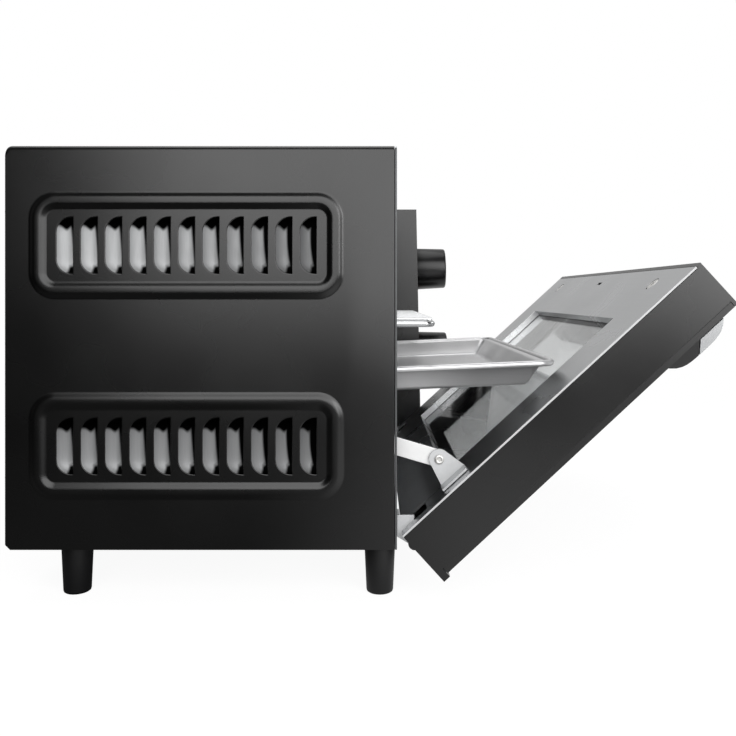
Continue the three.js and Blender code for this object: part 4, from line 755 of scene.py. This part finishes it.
def casing_side(work, side, settings):
    """Adds one side of the casing with its beads and louvres."""
    face = RIGHT if side > 0 else LEFT
    low, high = BOTTOM / MM, TOP / MM - CASING_CORNER
    rear = CASING_BACK + LOUVRE_REAR_MARGIN

    def place(x, z, level):
        return (x * MM, face - side * level * MM, z * MM)

    outline = [(CASING_FRONT, low), (CASING_FRONT, high)] + [(x, high - drop) for x, drop in rear_bend()]
    outline += [(CASING_BACK, low + REAR_CORNER), (CASING_BACK + REAR_CORNER, low)]
    loops = [add_loop(work, outline, 0.0, place)]
    for down in LOUVRES_DOWN:
        middle = TOP / MM - down
        outside, inside = add_bead(work, rear, middle, place, settings.bead_height / MM)
        loops.append(outside)
        holes = [inside]
        for i in range(LOUVRE_COUNT):
            start, order = rear + i * LOUVRE_PITCH, i / (LOUVRE_COUNT - 1)
            holes.append(add_louvre(work, start, middle, place, settings.louvre_depth / MM, order))
        fill_flat(work, holes, (0, side, 0))
    fill_flat(work, loops, (0, side, 0))


def casing_top(work):
    """Adds the top with its bends, and the folds under the base."""
    sides = ((-1, LEFT / MM), (1, RIGHT / MM))
    path = []
    for sign, face in sides:
        bend = []
        for turn in quarter(6):
            y = face - sign * CASING_CORNER * (1 - math.cos(turn))
            bend.append((y, TOP / MM - CASING_CORNER * (1 - math.sin(turn))))
        path += bend[::-sign]
    rows = []
    for x, drop in [(CASING_FRONT, 0.0)] + rear_bend():
        rows.append([work.verts.new((x * MM, y * MM, (z - drop) * MM)) for y, z in path])
    for first, second in zip(rows, rows[1:]):
        add_strip(work, first, second, False)
    rear = CASING_BACK + REAR_CORNER
    for sign, face in sides:
        inner = face - sign * BOTTOM_RETURN
        fold = [(CASING_FRONT, face), (rear, face), (rear, inner), (CASING_FRONT, inner)]
        work.faces.new([work.verts.new((x * MM, y * MM, BOTTOM)) for x, y in fold])


def fine_casing(settings):
    """The bent casing: an outer skin that is then given the sheet's thickness."""
    work = bmesh.new()
    # Layers that carry the louvres' painted shade.
    for layer in ("painted_shade", "shine"):
        work.verts.layers.float.new(layer)
    for side in (-1, 1):
        casing_side(work, side, settings)
    casing_top(work)
    bmesh.ops.remove_doubles(work, verts=work.verts, dist=1e-6)
    bmesh.ops.recalc_face_normals(work, faces=work.faces)
    top = max(work.faces, key=lambda f: f.calc_center_median().z)
    if top.normal.z < 0:
        bmesh.ops.reverse_faces(work, faces=work.faces)
    mesh = bpy.data.meshes.new("casing")
    work.to_mesh(mesh)
    work.free()
    made = bpy.data.objects.new("casing", mesh)
    sheet = made.modifiers.new("sheet", "SOLIDIFY")
    sheet.thickness = CASING_SHEET * MM
    sheet.offset = -1.0
    return baked(made)


# Tray and rack

def tray_place():
    """The tray's own frame, with X = 0 at its front and Z = 0 in the rim's middle, and half its width."""
    low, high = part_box("baking_tray")
    level = (TRAY_RIM_LEVEL + math.tan(TRAY_TILT) * TRAY_FRONT) * MM
    shift = Matrix.Translation((FRONT + TRAY_FRONT * MM, (low.y + high.y) / 2, level))
    return shift @ Matrix.Rotation(-TRAY_TILT, 4, "Y"), (high.y - low.y) / MM / 2


def end_inset(inset):
    """How far in a line of the tray lies at its ends, where the wall leans more than along the sides."""
    within = min(max(inset - TRAY_FLANGE, 0.0), TRAY_FLARE)
    return inset + within * (TRAY_END_LEAN - 1)


def fine_tray():
    """A pressed tray: rolled rim, flange, flared wall with soft bends, and a floor with a raised panel."""
    tray_frame, half = tray_place()
    top = TRAY_SHEET / 2
    floor = TRAY_ROLL - TRAY_DEPTH - TRAY_SHEET * 0.5
    foot = TRAY_FLANGE + TRAY_FLARE
    turns = [math.radians(-60 + i * 20) for i in range(13)]
    rim = [(TRAY_ROLL - TRAY_ROLL * math.cos(turn), TRAY_ROLL * math.sin(turn)) for turn in turns]
    rim += [(TRAY_ROLL * 2, top), (TRAY_FLANGE - 0.8, top)]
    wall = [(TRAY_FLANGE, top - 0.25), (TRAY_FLANGE + 0.6, top - 0.95), (foot - 0.9, floor + 2.6)]
    wall += [(foot - 0.3, floor + 1.4), (foot + 0.7, floor + 0.95), (foot + 2.2, floor + TRAY_SHEET)]
    wall += [(foot + 9, floor + TRAY_SHEET), (foot + 10.4, floor + 1.5), (foot + 12, floor + 1.6)]

    def line(inset, z):
        end = end_inset(inset)
        corner = max(TRAY_CORNER - inset, TRAY_CORNER_LEAST)
        loop = round_rect(-TRAY_LENGTH + end, -end, -half + inset, half - inset, corner, 10)
        return [tray_frame @ (Vector((x, y, z)) * MM) for x, y in loop]

    upper = skinned([line(inset, z) for inset, z in rim + wall], last=True)
    under = skinned([line(inset, z - TRAY_UNDERSIDE) for inset, z in reversed(wall)], first=True)
    return mesh_from("tray", *joined_parts([upper, under]))


def tube_loop(x0, x1, y0, y1, z, corner, radius, sides, steps):
    """A round wire bent into a rounded rectangle, in millimetres."""
    rings = []
    for out, up in circle(radius, sides):
        loop = round_rect(x0 - out, x1 + out, y0 - out, y1 + out, corner + out, steps)
        rings.append([Vector((x, y, z + up)) * MM for x, y in loop])
    return skinned(rings, closed=True)


def straight_wire(x0, x1, y, z, radius, sides):
    """A straight wire along X with slightly rounded ends, in millimetres."""
    rings = []
    for x, share in ((x0, 0.6), (x0 + 0.5, 1.0), (x1 - 0.5, 1.0), (x1, 0.6)):
        rings.append([Vector((x, y + out, z + up)) * MM for out, up in circle(radius * share, sides)])
    return skinned(rings, first=True, last=True)


# Places

def knob_axis(name):
    """A knob's axis, from the joint that turns it."""
    joint = next(j for j in frame["joints"] if j["name"] == name + "_turn")
    return Vector(joint["pos_m"]), Vector(joint["axis"]).normalized()


def door_place(x, y, up):
    """A point of the open door, from its place in front of the cabinet, across it and up the shut door."""
    ahead, above = x - DOOR_PIVOT[0], DOOR_BOTTOM + up - DOOR_PIVOT[1]
    turned_x = DOOR_PIVOT[0] + ahead * math.cos(DOOR_SWING) + above * math.sin(DOOR_SWING)
    turned_z = DOOR_PIVOT[1] - ahead * math.sin(DOOR_SWING) + above * math.cos(DOOR_SWING)
    return Vector((FRONT + turned_x * MM, y * MM, turned_z * MM))


# Settings

class MiniOvenSizes(bpy.types.PropertyGroup):
    """Sizes that shape the visible detail."""
    bead_height: bpy.props.FloatProperty(
        name="Bead height", description="How far the ring around the louvres stands out", default=0.00125,
        min=0.0005, max=0.004, unit="LENGTH",
    )
    louvre_depth: bpy.props.FloatProperty(
        name="Louvre depth", description="How far a louvre's front edge is pressed in", default=0.004,
        min=0.001, max=0.006, unit="LENGTH",
    )
    sheet_edge: bpy.props.FloatProperty(
        name="Sheet edge", description="Radius left on the edges of cut sheet", default=0.00025,
        min=0.0, max=0.0005, unit="LENGTH",
    )
    moulded_edge: bpy.props.FloatProperty(
        name="Moulded edge", description="Radius on the edges of moulded pieces", default=0.0007,
        min=0.0, max=0.002, unit="LENGTH",
    )


class MiniOvenColours(bpy.types.PropertyGroup):
    """Colours of the finishes, as sRGB hex codes."""
    enamel: bpy.props.StringProperty(name="Coated steel", description="Casing and door", default="030303")
    plastic: bpy.props.StringProperty(name="Plastic", description="Knobs, feet and grip", default="0a0a0b")
    steel: bpy.props.StringProperty(name="Door lining", description="Brushed steel", default="b8b9ba")
    bright: bpy.props.StringProperty(name="Arm", description="Rolled steel", default="dadada")
    # A painted highlight on the lining's cut edge.
    edge: bpy.props.StringProperty(name="Lining's edge", description="Pale steel", default="b2b2b3")
    trim: bpy.props.StringProperty(name="Handle trim", description="Blasted steel", default="909192")
    plate: bpy.props.StringProperty(name="Brackets", description="Zinc plate", default="bcbdbe")
    # Painted shade on the frame's rim.
    rim: bpy.props.StringProperty(name="Frame's rim", description="Shaded zinc", default="565758")
    zinc: bpy.props.StringProperty(name="Lining", description="Galvanised steel", default="b4b6b8")
    # The louvres' pale steel.
    louvre: bpy.props.StringProperty(name="Louvres", description="Pale louvres", default="999a9b")
    # Painted shade on the louvres, mixed in towards the door and high up in the lower group.
    dull: bpy.props.StringProperty(name="Shaded louvres", description="Darkened louvres", default="101011")
    chrome: bpy.props.StringProperty(name="Rack", description="Chrome plate", default="c6c7c8")
    aluminium: bpy.props.StringProperty(name="Tray", description="Pressed aluminium", default="c8c8c9")
    nickel: bpy.props.StringProperty(name="Screws", description="Nickel plate", default="d4d3d0")
    black_zinc: bpy.props.StringProperty(name="Rear screws", description="Black zinc", default="2c2c2e")
    sheath: bpy.props.StringProperty(name="Heating tubes", description="Oxidised sheath", default="5a524b")
    ceramic: bpy.props.StringProperty(name="Works", description="Ceramic bodies", default="d8d2c4")
    clear: bpy.props.StringProperty(name="Inner pane", description="Clear glass", default="e6e8e8")
    smoke: bpy.props.StringProperty(name="Front pane", description="Tinted glass", default="3a3c3e")
    amber: bpy.props.StringProperty(name="Lamp", description="Lens of the pilot lamp", default="e0702a")
    ink: bpy.props.StringProperty(name="Marks", description="Ink on the knobs", default="e4e4e2")


# Operators

class OVEN_OT_stage(bpy.types.Operator):
    """Lays the floor, sets the lights and places the camera"""
    bl_idname = "mini_oven.stage"
    bl_label = "Stage"

    def execute(self, context):
        scene = context.scene
        scene.view_settings.view_transform = "Standard"
        self.floor(scene)
        self.world(scene)
        self.lamps(scene)
        self.camera(scene)
        return {"FINISHED"}

    def floor(self, scene):
        ends = (-FLOOR_REACH, FLOOR_REACH)
        corners = [(ends[0], ends[0], 0), (ends[1], ends[0], 0), (ends[1], ends[1], 0), (ends[0], ends[1], 0)]
        mesh = mesh_from("floor", corners, [(0, 1, 2, 3)])
        made = bpy.data.objects.new("floor", mesh)
        scene.collection.objects.link(made)
        mesh.materials.append(self.pale_floor())

    def seen(self, tree, rays):
        """1 for what the camera sees by itself or through glass, and 0 for other rays."""
        both = {0: rays.outputs["Is Camera Ray"], 1: rays.outputs["Is Transmission Ray"]}
        return node(tree, "ShaderNodeMath", both, operation="MAXIMUM").outputs[0]

    def pale_floor(self):
        material = bpy.data.materials.new("pale_floor")
        tree = blank_tree(material)
        rays = node(tree, "ShaderNodeLightPath")
        place = node(tree, "ShaderNodeTexCoord")
        # The floor turns into the white backdrop away from the oven.
        far = node(tree, "ShaderNodeVectorMath", {0: place.outputs["Object"]}, operation="LENGTH")
        fade = node(tree, "ShaderNodeMapRange", {
            "Value": far.outputs["Value"], "From Min": 0.25, "From Max": 0.9, "To Min": 0.0, "To Max": 1.0,
        }, interpolation_type="SMOOTHSTEP")
        shine = node(tree, "ShaderNodeMapRange", {
            "Value": fade.outputs["Result"], "To Min": 0.93, "To Max": 1.0,
        })
        glow = node(tree, "ShaderNodeMath", {
            0: self.seen(tree, rays), 1: shine.outputs["Result"],
        }, operation="MULTIPLY")
        # The tray and the door's underside also show the pale floor; the casing's dark side doesn't.
        parts = node(tree, "ShaderNodeSeparateXYZ", {"Vector": place.outputs["Object"]})
        ahead = node(tree, "ShaderNodeMapRange", {
            "Value": parts.outputs["X"], "From Min": FRONT - 0.08, "From Max": FRONT + 0.05,
            "To Min": 0.02, "To Max": 0.9,
        })
        beside = node(tree, "ShaderNodeMapRange", {
            "Value": parts.outputs["Y"], "From Min": LEFT - 0.6, "From Max": LEFT - 0.3,
            "To Min": 0.1, "To Max": 1.0,
        })
        pale = node(tree, "ShaderNodeMath", {
            0: ahead.outputs["Result"], 1: beside.outputs["Result"],
        }, operation="MULTIPLY")
        dull = node(tree, "ShaderNodeMath", {
            0: rays.outputs["Is Glossy Ray"], 1: rays.outputs["Is Diffuse Ray"],
        }, operation="MAXIMUM")
        shown = node(tree, "ShaderNodeMath", {0: dull.outputs[0], 1: pale.outputs[0]}, operation="MULTIPLY")
        total = node(tree, "ShaderNodeMath", {0: glow.outputs[0], 1: shown.outputs[0]}, operation="ADD")
        grey = node(tree, "ShaderNodeMapRange", {
            "Value": fade.outputs["Result"], "To Min": 0.1, "To Max": 0.0,
        })
        diffuse = node(tree, "ShaderNodeBsdfDiffuse", {"Color": grey.outputs["Result"]})
        light = node(tree, "ShaderNodeEmission", {"Color": (1, 1, 1, 1), "Strength": total.outputs[0]})
        both = node(tree, "ShaderNodeAddShader", {0: diffuse.outputs[0], 1: light.outputs[0]})
        node(tree, "ShaderNodeOutputMaterial", {"Surface": both.outputs[0]})
        return material

    def world(self, scene):
        scene.world = bpy.data.worlds.new("studio")
        tree = blank_tree(scene.world)
        rays = node(tree, "ShaderNodeLightPath")
        place = node(tree, "ShaderNodeTexCoord")
        parts = node(tree, "ShaderNodeSeparateXYZ", {"Vector": place.outputs["Generated"]})
        # A pale wall behind the oven and a dim room in front of it, as polished metal would show them.
        wall = node(tree, "ShaderNodeMapRange", {
            "Value": parts.outputs["Y"], "From Min": -0.35, "From Max": 0.5, "To Min": 0.012, "To Max": 0.65,
        })
        shiny = node(tree, "ShaderNodeMath", {
            0: rays.outputs["Is Glossy Ray"], 1: wall.outputs["Result"],
        }, operation="MULTIPLY")
        soft = node(tree, "ShaderNodeMath", {
            0: rays.outputs["Is Diffuse Ray"], 1: 0.3,
        }, operation="MULTIPLY")
        dull = node(tree, "ShaderNodeMath", {0: shiny.outputs[0], 1: soft.outputs[0]}, operation="MAXIMUM")
        level = node(tree, "ShaderNodeMath", {
            0: self.seen(tree, rays), 1: dull.outputs[0],
        }, operation="MAXIMUM")
        back = node(tree, "ShaderNodeBackground", {"Color": (1, 1, 1, 1), "Strength": level.outputs[0]})
        node(tree, "ShaderNodeOutputWorld", {"Surface": back.outputs[0]})

    def lamps(self, scene):
        for name, place, aim, size, power in LAMPS:
            data = bpy.data.lights.new(name, "AREA")
            data.shape = "RECTANGLE"
            data.size, data.size_y = size
            data.energy = power
            lamp = bpy.data.objects.new(name, data)
            lamp.location = place
            lamp.rotation_euler = (Vector(aim) - Vector(place)).to_track_quat("-Z", "Y").to_euler()
            scene.collection.objects.link(lamp)

    def camera(self, scene):
        data = bpy.data.cameras.new("camera")
        data.sensor_width = SENSOR
        data.lens = SENSOR * FOCAL_PIXELS / PICTURE
        data.shift_x = (PICTURE / 2 - VANISHING_PIXEL[0]) / PICTURE
        data.shift_y = (VANISHING_PIXEL[1] - PICTURE / 2) / PICTURE
        data.clip_start = 0.01
        made = bpy.data.objects.new("camera", data)
        made.location = (CAMERA_X, LEFT - CAMERA_DISTANCE, CAMERA_Z)
        made.rotation_euler = (math.pi / 2, 0, 0)
        scene.collection.objects.link(made)
        scene.camera = made


class OVEN_OT_casing(bpy.types.Operator):
    """Builds the bent casing with its beads and louvres"""
    bl_idname = "mini_oven.casing"
    bl_label = "Casing"

    def execute(self, context):
        mesh = fine_casing(context.scene.mini_oven_sizes)
        makers = [powder_coated_steel, louvre_steel_with_painted_shade]
        piece("casing", mesh, makers, "cabinet", ["outer_casing"], sharp=30)
        return {"FINISHED"}


class OVEN_OT_cabinet(bpy.types.Operator):
    """Finishes the frame, covers, lining and works of the cabinet"""
    bl_idname = "mini_oven.cabinet"
    bl_label = "Cabinet"

    def execute(self, context):
        edge = context.scene.mini_oven_sizes.sheet_edge / MM
        # The frame's rim faces get painted shade, a dark grey.
        dress_with_rim("frame", "front_frame", edge, 0.6, [galvanised_steel, shaded_rim_zinc])
        dress("rear_cover", powder_coated_steel, edge)
        dress("base_plate", galvanised_steel, edge)
        dress("crumb_tray", galvanised_steel, edge * 0.8)
        for name in ("cavity_left_wall", "cavity_right_wall"):
            dress(name, galvanised_steel, edge)
        for name in ("cavity_floor", "cavity_roof", "cavity_back", "heat_shield"):
            clothe(name, galvanised_steel)
        for name in ("timer_body", "thermostat_body", "terminal_block"):
            dress(name, steatite, 0.5)
        for name in ("timer_shaft", "thermostat_shaft"):
            clothe(name, nickel_plate)
        for row, end in itertools.product(("upper", "lower"), ("front", "rear")):
            clothe("heating_tube_" + row + "_" + end, oxidised_sheath)
        dress("cord_inlet", silicone_rubber, 0.3)
        return {"FINISHED"}


class OVEN_OT_feet(bpy.types.Operator):
    """Turns the four moulded feet"""
    bl_idname = "mini_oven.feet"
    bl_label = "Feet"

    def execute(self, context):
        for node_name in sorted(n for n in frame["nodes"] if n.startswith("foot_")):
            low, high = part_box(node_name)
            centre = ((low.x + high.x) / 2, (low.y + high.y) / 2, 0.0)
            mesh = mesh_from(node_name, *lathe(FOOT, centre, (0, 0, 1)))
            piece(node_name + "_turned", mesh, [moulded_abs], "cabinet", [node_name])
        return {"FINISHED"}


class OVEN_OT_screws(bpy.types.Operator):
    """Makes the screws in the rear cover and behind the handle, with their cross recesses"""
    bl_idname = "mini_oven.screws"
    bl_label = "Screws"

    def execute(self, context):
        for node_name in sorted(n for n in frame["nodes"] if n.startswith("rear_screw_")):
            low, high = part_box(node_name)
            centre = Vector((low.x, (low.y + high.y) / 2, (low.z + high.z) / 2))
            self.screw(node_name, REAR_SCREW, centre, Vector((1, 0, 0)), "cabinet", blackened_steel)
        radius = HANDLE_SCREW_RADIUS * MM
        for node_name in ("handle_screw_left", "handle_screw_right"):
            low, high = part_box(node_name)
            x = low.x + radius * math.sin(DOOR_SWING)
            z = high.z - radius * math.cos(DOOR_SWING)
            centre = Vector((x, (low.y + high.y) / 2, z))
            self.screw(node_name, HANDLE_SCREW, centre, DOOR_FACING, "door", nickel_plate)
        return {"FINISHED"}

    def screw(self, node_name, profile, centre, axis, body, maker):
        across = axis.orthogonal().normalized()
        beside = axis.cross(across)
        slots = [block(centre, (axis, across, beside), sizes) for sizes in CROSS_SLOTS]
        mesh = carved(node_name, *lathe(profile, centre, axis, 40), slots)
        piece(node_name + "_cross", mesh, [maker], body, [node_name])


class OVEN_OT_door(bpy.types.Operator):
    """Finishes the door's shell, lining and two panes, and seals the front one"""
    bl_idname = "mini_oven.door"
    bl_label = "Door"

    def execute(self, context):
        edge = context.scene.mini_oven_sizes.sheet_edge / MM
        dress("door_shell", powder_coated_steel, 0.5, 3)
        # The lining's end faces get a painted highlight, a pale line.
        dress_with_rim("lining", "door_liner", edge, 0.5, [brushed_stainless, painted_highlight_edge])
        dress("door_inner_glass", clear_float_glass, 0.4)
        self.front_pane()
        self.seals()
        return {"FINISHED"}

    def front_pane(self):
        mesh = eased("door_front_glass", 0.15)
        for polygon in mesh.polygons:
            polygon.material_index = 0 if abs(polygon.normal.dot(DOOR_FACING)) > 0.9 else 1
        piece("front_pane", mesh, [smoked_glass, glass_border], "door", ["door_front_glass"], sharp=None)

    def seals(self):
        """Black silicone in the seam between the front pane and the shell, along both sides."""
        low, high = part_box("door_shell")
        for side, face, inward in (("left", low.y, 1), ("right", high.y, -1)):
            rings = []
            for i in range(SEAL_STEPS + 1):
                up = SEAL_LOW + (SEAL_HIGH - SEAL_LOW) * i / SEAL_STEPS
                seam = DOOR_SEAM - DOOR_TAPER / DOOR_HEIGHT * up
                ring = [door_place(seam + out, face / MM + inward * deep, up) for out, deep in SEAL_SECTION]
                rings.append(ring)
            mesh = mesh_from("seal", *skinned(rings, first=True, last=True))
            piece("pane_seal_" + side, mesh, [silicone_rubber], "door")


class OVEN_OT_handle(bpy.types.Operator):
    """Finishes the grip and its bright trim"""
    bl_idname = "mini_oven.handle"
    bl_label = "Handle"

    def execute(self, context):
        edge = context.scene.mini_oven_sizes.moulded_edge / MM
        dress("handle_grip", moulded_abs, edge, 3)
        dress("handle_trim", blasted_stainless, edge * 0.7, 3)
        return {"FINISHED"}


class OVEN_OT_linkage(bpy.types.Operator):
    """Finishes the hinges with their pins, and the arm with its bracket and rivet"""
    bl_idname = "mini_oven.linkage"
    bl_label = "Linkage"

    def execute(self, context):
        edge = context.scene.mini_oven_sizes.sheet_edge / MM
        for side in ("left", "right"):
            dress("hinge_bracket_" + side, zinc_plated_steel, edge)
            clothe("hinge_pin_" + side, nickel_plate)
        dress("arm_bracket", zinc_plated_steel, edge)
        dress("door_arm", rolled_stainless, edge)
        self.rivet()
        return {"FINISHED"}

    def rivet(self):
        low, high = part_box("arm_rivet")
        centre = Vector(((low.x + high.x) / 2, low.y, (low.z + high.z) / 2))
        length = (high.y - low.y) / MM
        shank = [(RIVET_SHANK, RIVET_HEAD[-1][1]), (RIVET_SHANK, length), (0, length)]
        mesh = mesh_from("rivet", *lathe(RIVET_HEAD + shank, centre, (0, 1, 0), 40))
        piece("rivet", mesh, [nickel_plate], "door", ["arm_rivet"])


class OVEN_OT_rack(bpy.types.Operator):
    """Bends the chromed wire rack"""
    bl_idname = "mini_oven.rack"
    bl_label = "Wire rack"

    def execute(self, context):
        low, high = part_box("wire_rack")
        r = RACK_FRAME_RADIUS
        x0, x1 = low.x / MM + r, high.x / MM - r
        y0, y1 = low.y / MM + r, high.y / MM - r
        z = low.z / MM + r
        ends = (x0 - RACK_OVERHANG, x1 + RACK_OVERHANG)
        parts = [tube_loop(x0, x1, y0, y1, z, RACK_CORNER, r, 16, 10)]
        for i in range(1, RACK_WIRE_COUNT + 1):
            y = y0 + i * (y1 - y0) / (RACK_WIRE_COUNT + 1)
            parts.append(straight_wire(*ends, y, z + r + RACK_WIRE_LIFT, RACK_WIRE_RADIUS, 12))
        piece("rack", mesh_from("rack", *joined_parts(parts)), [chromed_wire], "rack", ["wire_rack"])
        return {"FINISHED"}


class OVEN_OT_tray(bpy.types.Operator):
    """Presses the baking tray"""
    bl_idname = "mini_oven.tray"
    bl_label = "Baking tray"

    def execute(self, context):
        piece("tray", fine_tray(), [satin_aluminium], "tray", ["baking_tray"])
        return {"FINISHED"}


class OVEN_OT_controls(bpy.types.Operator):
    """Makes the control panel, the knobs and the pilot lens"""
    bl_idname = "mini_oven.controls"
    bl_label = "Controls"

    def execute(self, context):
        edge = context.scene.mini_oven_sizes.moulded_edge / MM
        dress("control_panel", powder_coated_steel, edge * 0.8, 3)
        dress("pilot_lens", amber_polycarbonate, 0.2)
        for name in ("timer", "thermostat"):
            self.knob(name)
        return {"FINISHED"}

    def knob(self, name):
        centre, axis = knob_axis(name)
        across = Vector((0, 1, 0))
        up = across.cross(axis) * -1

        def bar(level, out, sizes):
            return block(centre + axis * level * MM + up * out * MM, (axis, across, up), sizes)

        groove = bar(KNOB_FACE, GROOVE_OUT, GROOVE_SIZE)
        mesh = carved(name, *lathe(KNOB, centre, axis, 96), [groove])
        piece(name + "_knob_turned", mesh, [moulded_phenolic], name, [name + "_knob"])
        mark = mesh_from(name + "_mark", *bar(MARK_LEVEL, MARK_OUT, MARK_SIZE))
        piece(name + "_mark", mark, [white_marking], name)


class OVEN_PT_panel(bpy.types.Panel):
    """Lists the oven's pieces and settings"""
    bl_idname = "OVEN_PT_panel"
    bl_label = "Mini Oven"
    bl_space_type = "VIEW_3D"
    bl_region_type = "UI"
    bl_category = "Mini Oven"

    def draw(self, context):
        for group in (context.scene.mini_oven_sizes, context.scene.mini_oven_colours):
            for key in group.__annotations__:
                self.layout.prop(group, key)
        for operator in OPERATORS:
            self.layout.operator(operator.bl_idname)


OPERATORS = (
    OVEN_OT_stage, OVEN_OT_casing, OVEN_OT_cabinet, OVEN_OT_feet, OVEN_OT_screws, OVEN_OT_door,
    OVEN_OT_handle, OVEN_OT_linkage, OVEN_OT_rack, OVEN_OT_tray, OVEN_OT_controls,
)
CLASSES = (MiniOvenSizes, MiniOvenColours) + OPERATORS + (OVEN_PT_panel,)


def register():
    for kind in CLASSES:
        bpy.utils.register_class(kind)
    bpy.types.Scene.mini_oven_sizes = bpy.props.PointerProperty(type=MiniOvenSizes)
    bpy.types.Scene.mini_oven_colours = bpy.props.PointerProperty(type=MiniOvenColours)


def unregister():
    del bpy.types.Scene.mini_oven_colours
    del bpy.types.Scene.mini_oven_sizes
    for kind in reversed(CLASSES):
        bpy.utils.unregister_class(kind)


def main():
    register()
    colours = bpy.context.scene.mini_oven_colours
    for key in MiniOvenColours.__annotations__:
        COLOURS[key] = getattr(colours, key)
    for operator in OPERATORS:
        group, name = operator.bl_idname.split(".")
        getattr(getattr(bpy.ops, group), name)()


if __name__ == "__main__":
    main()
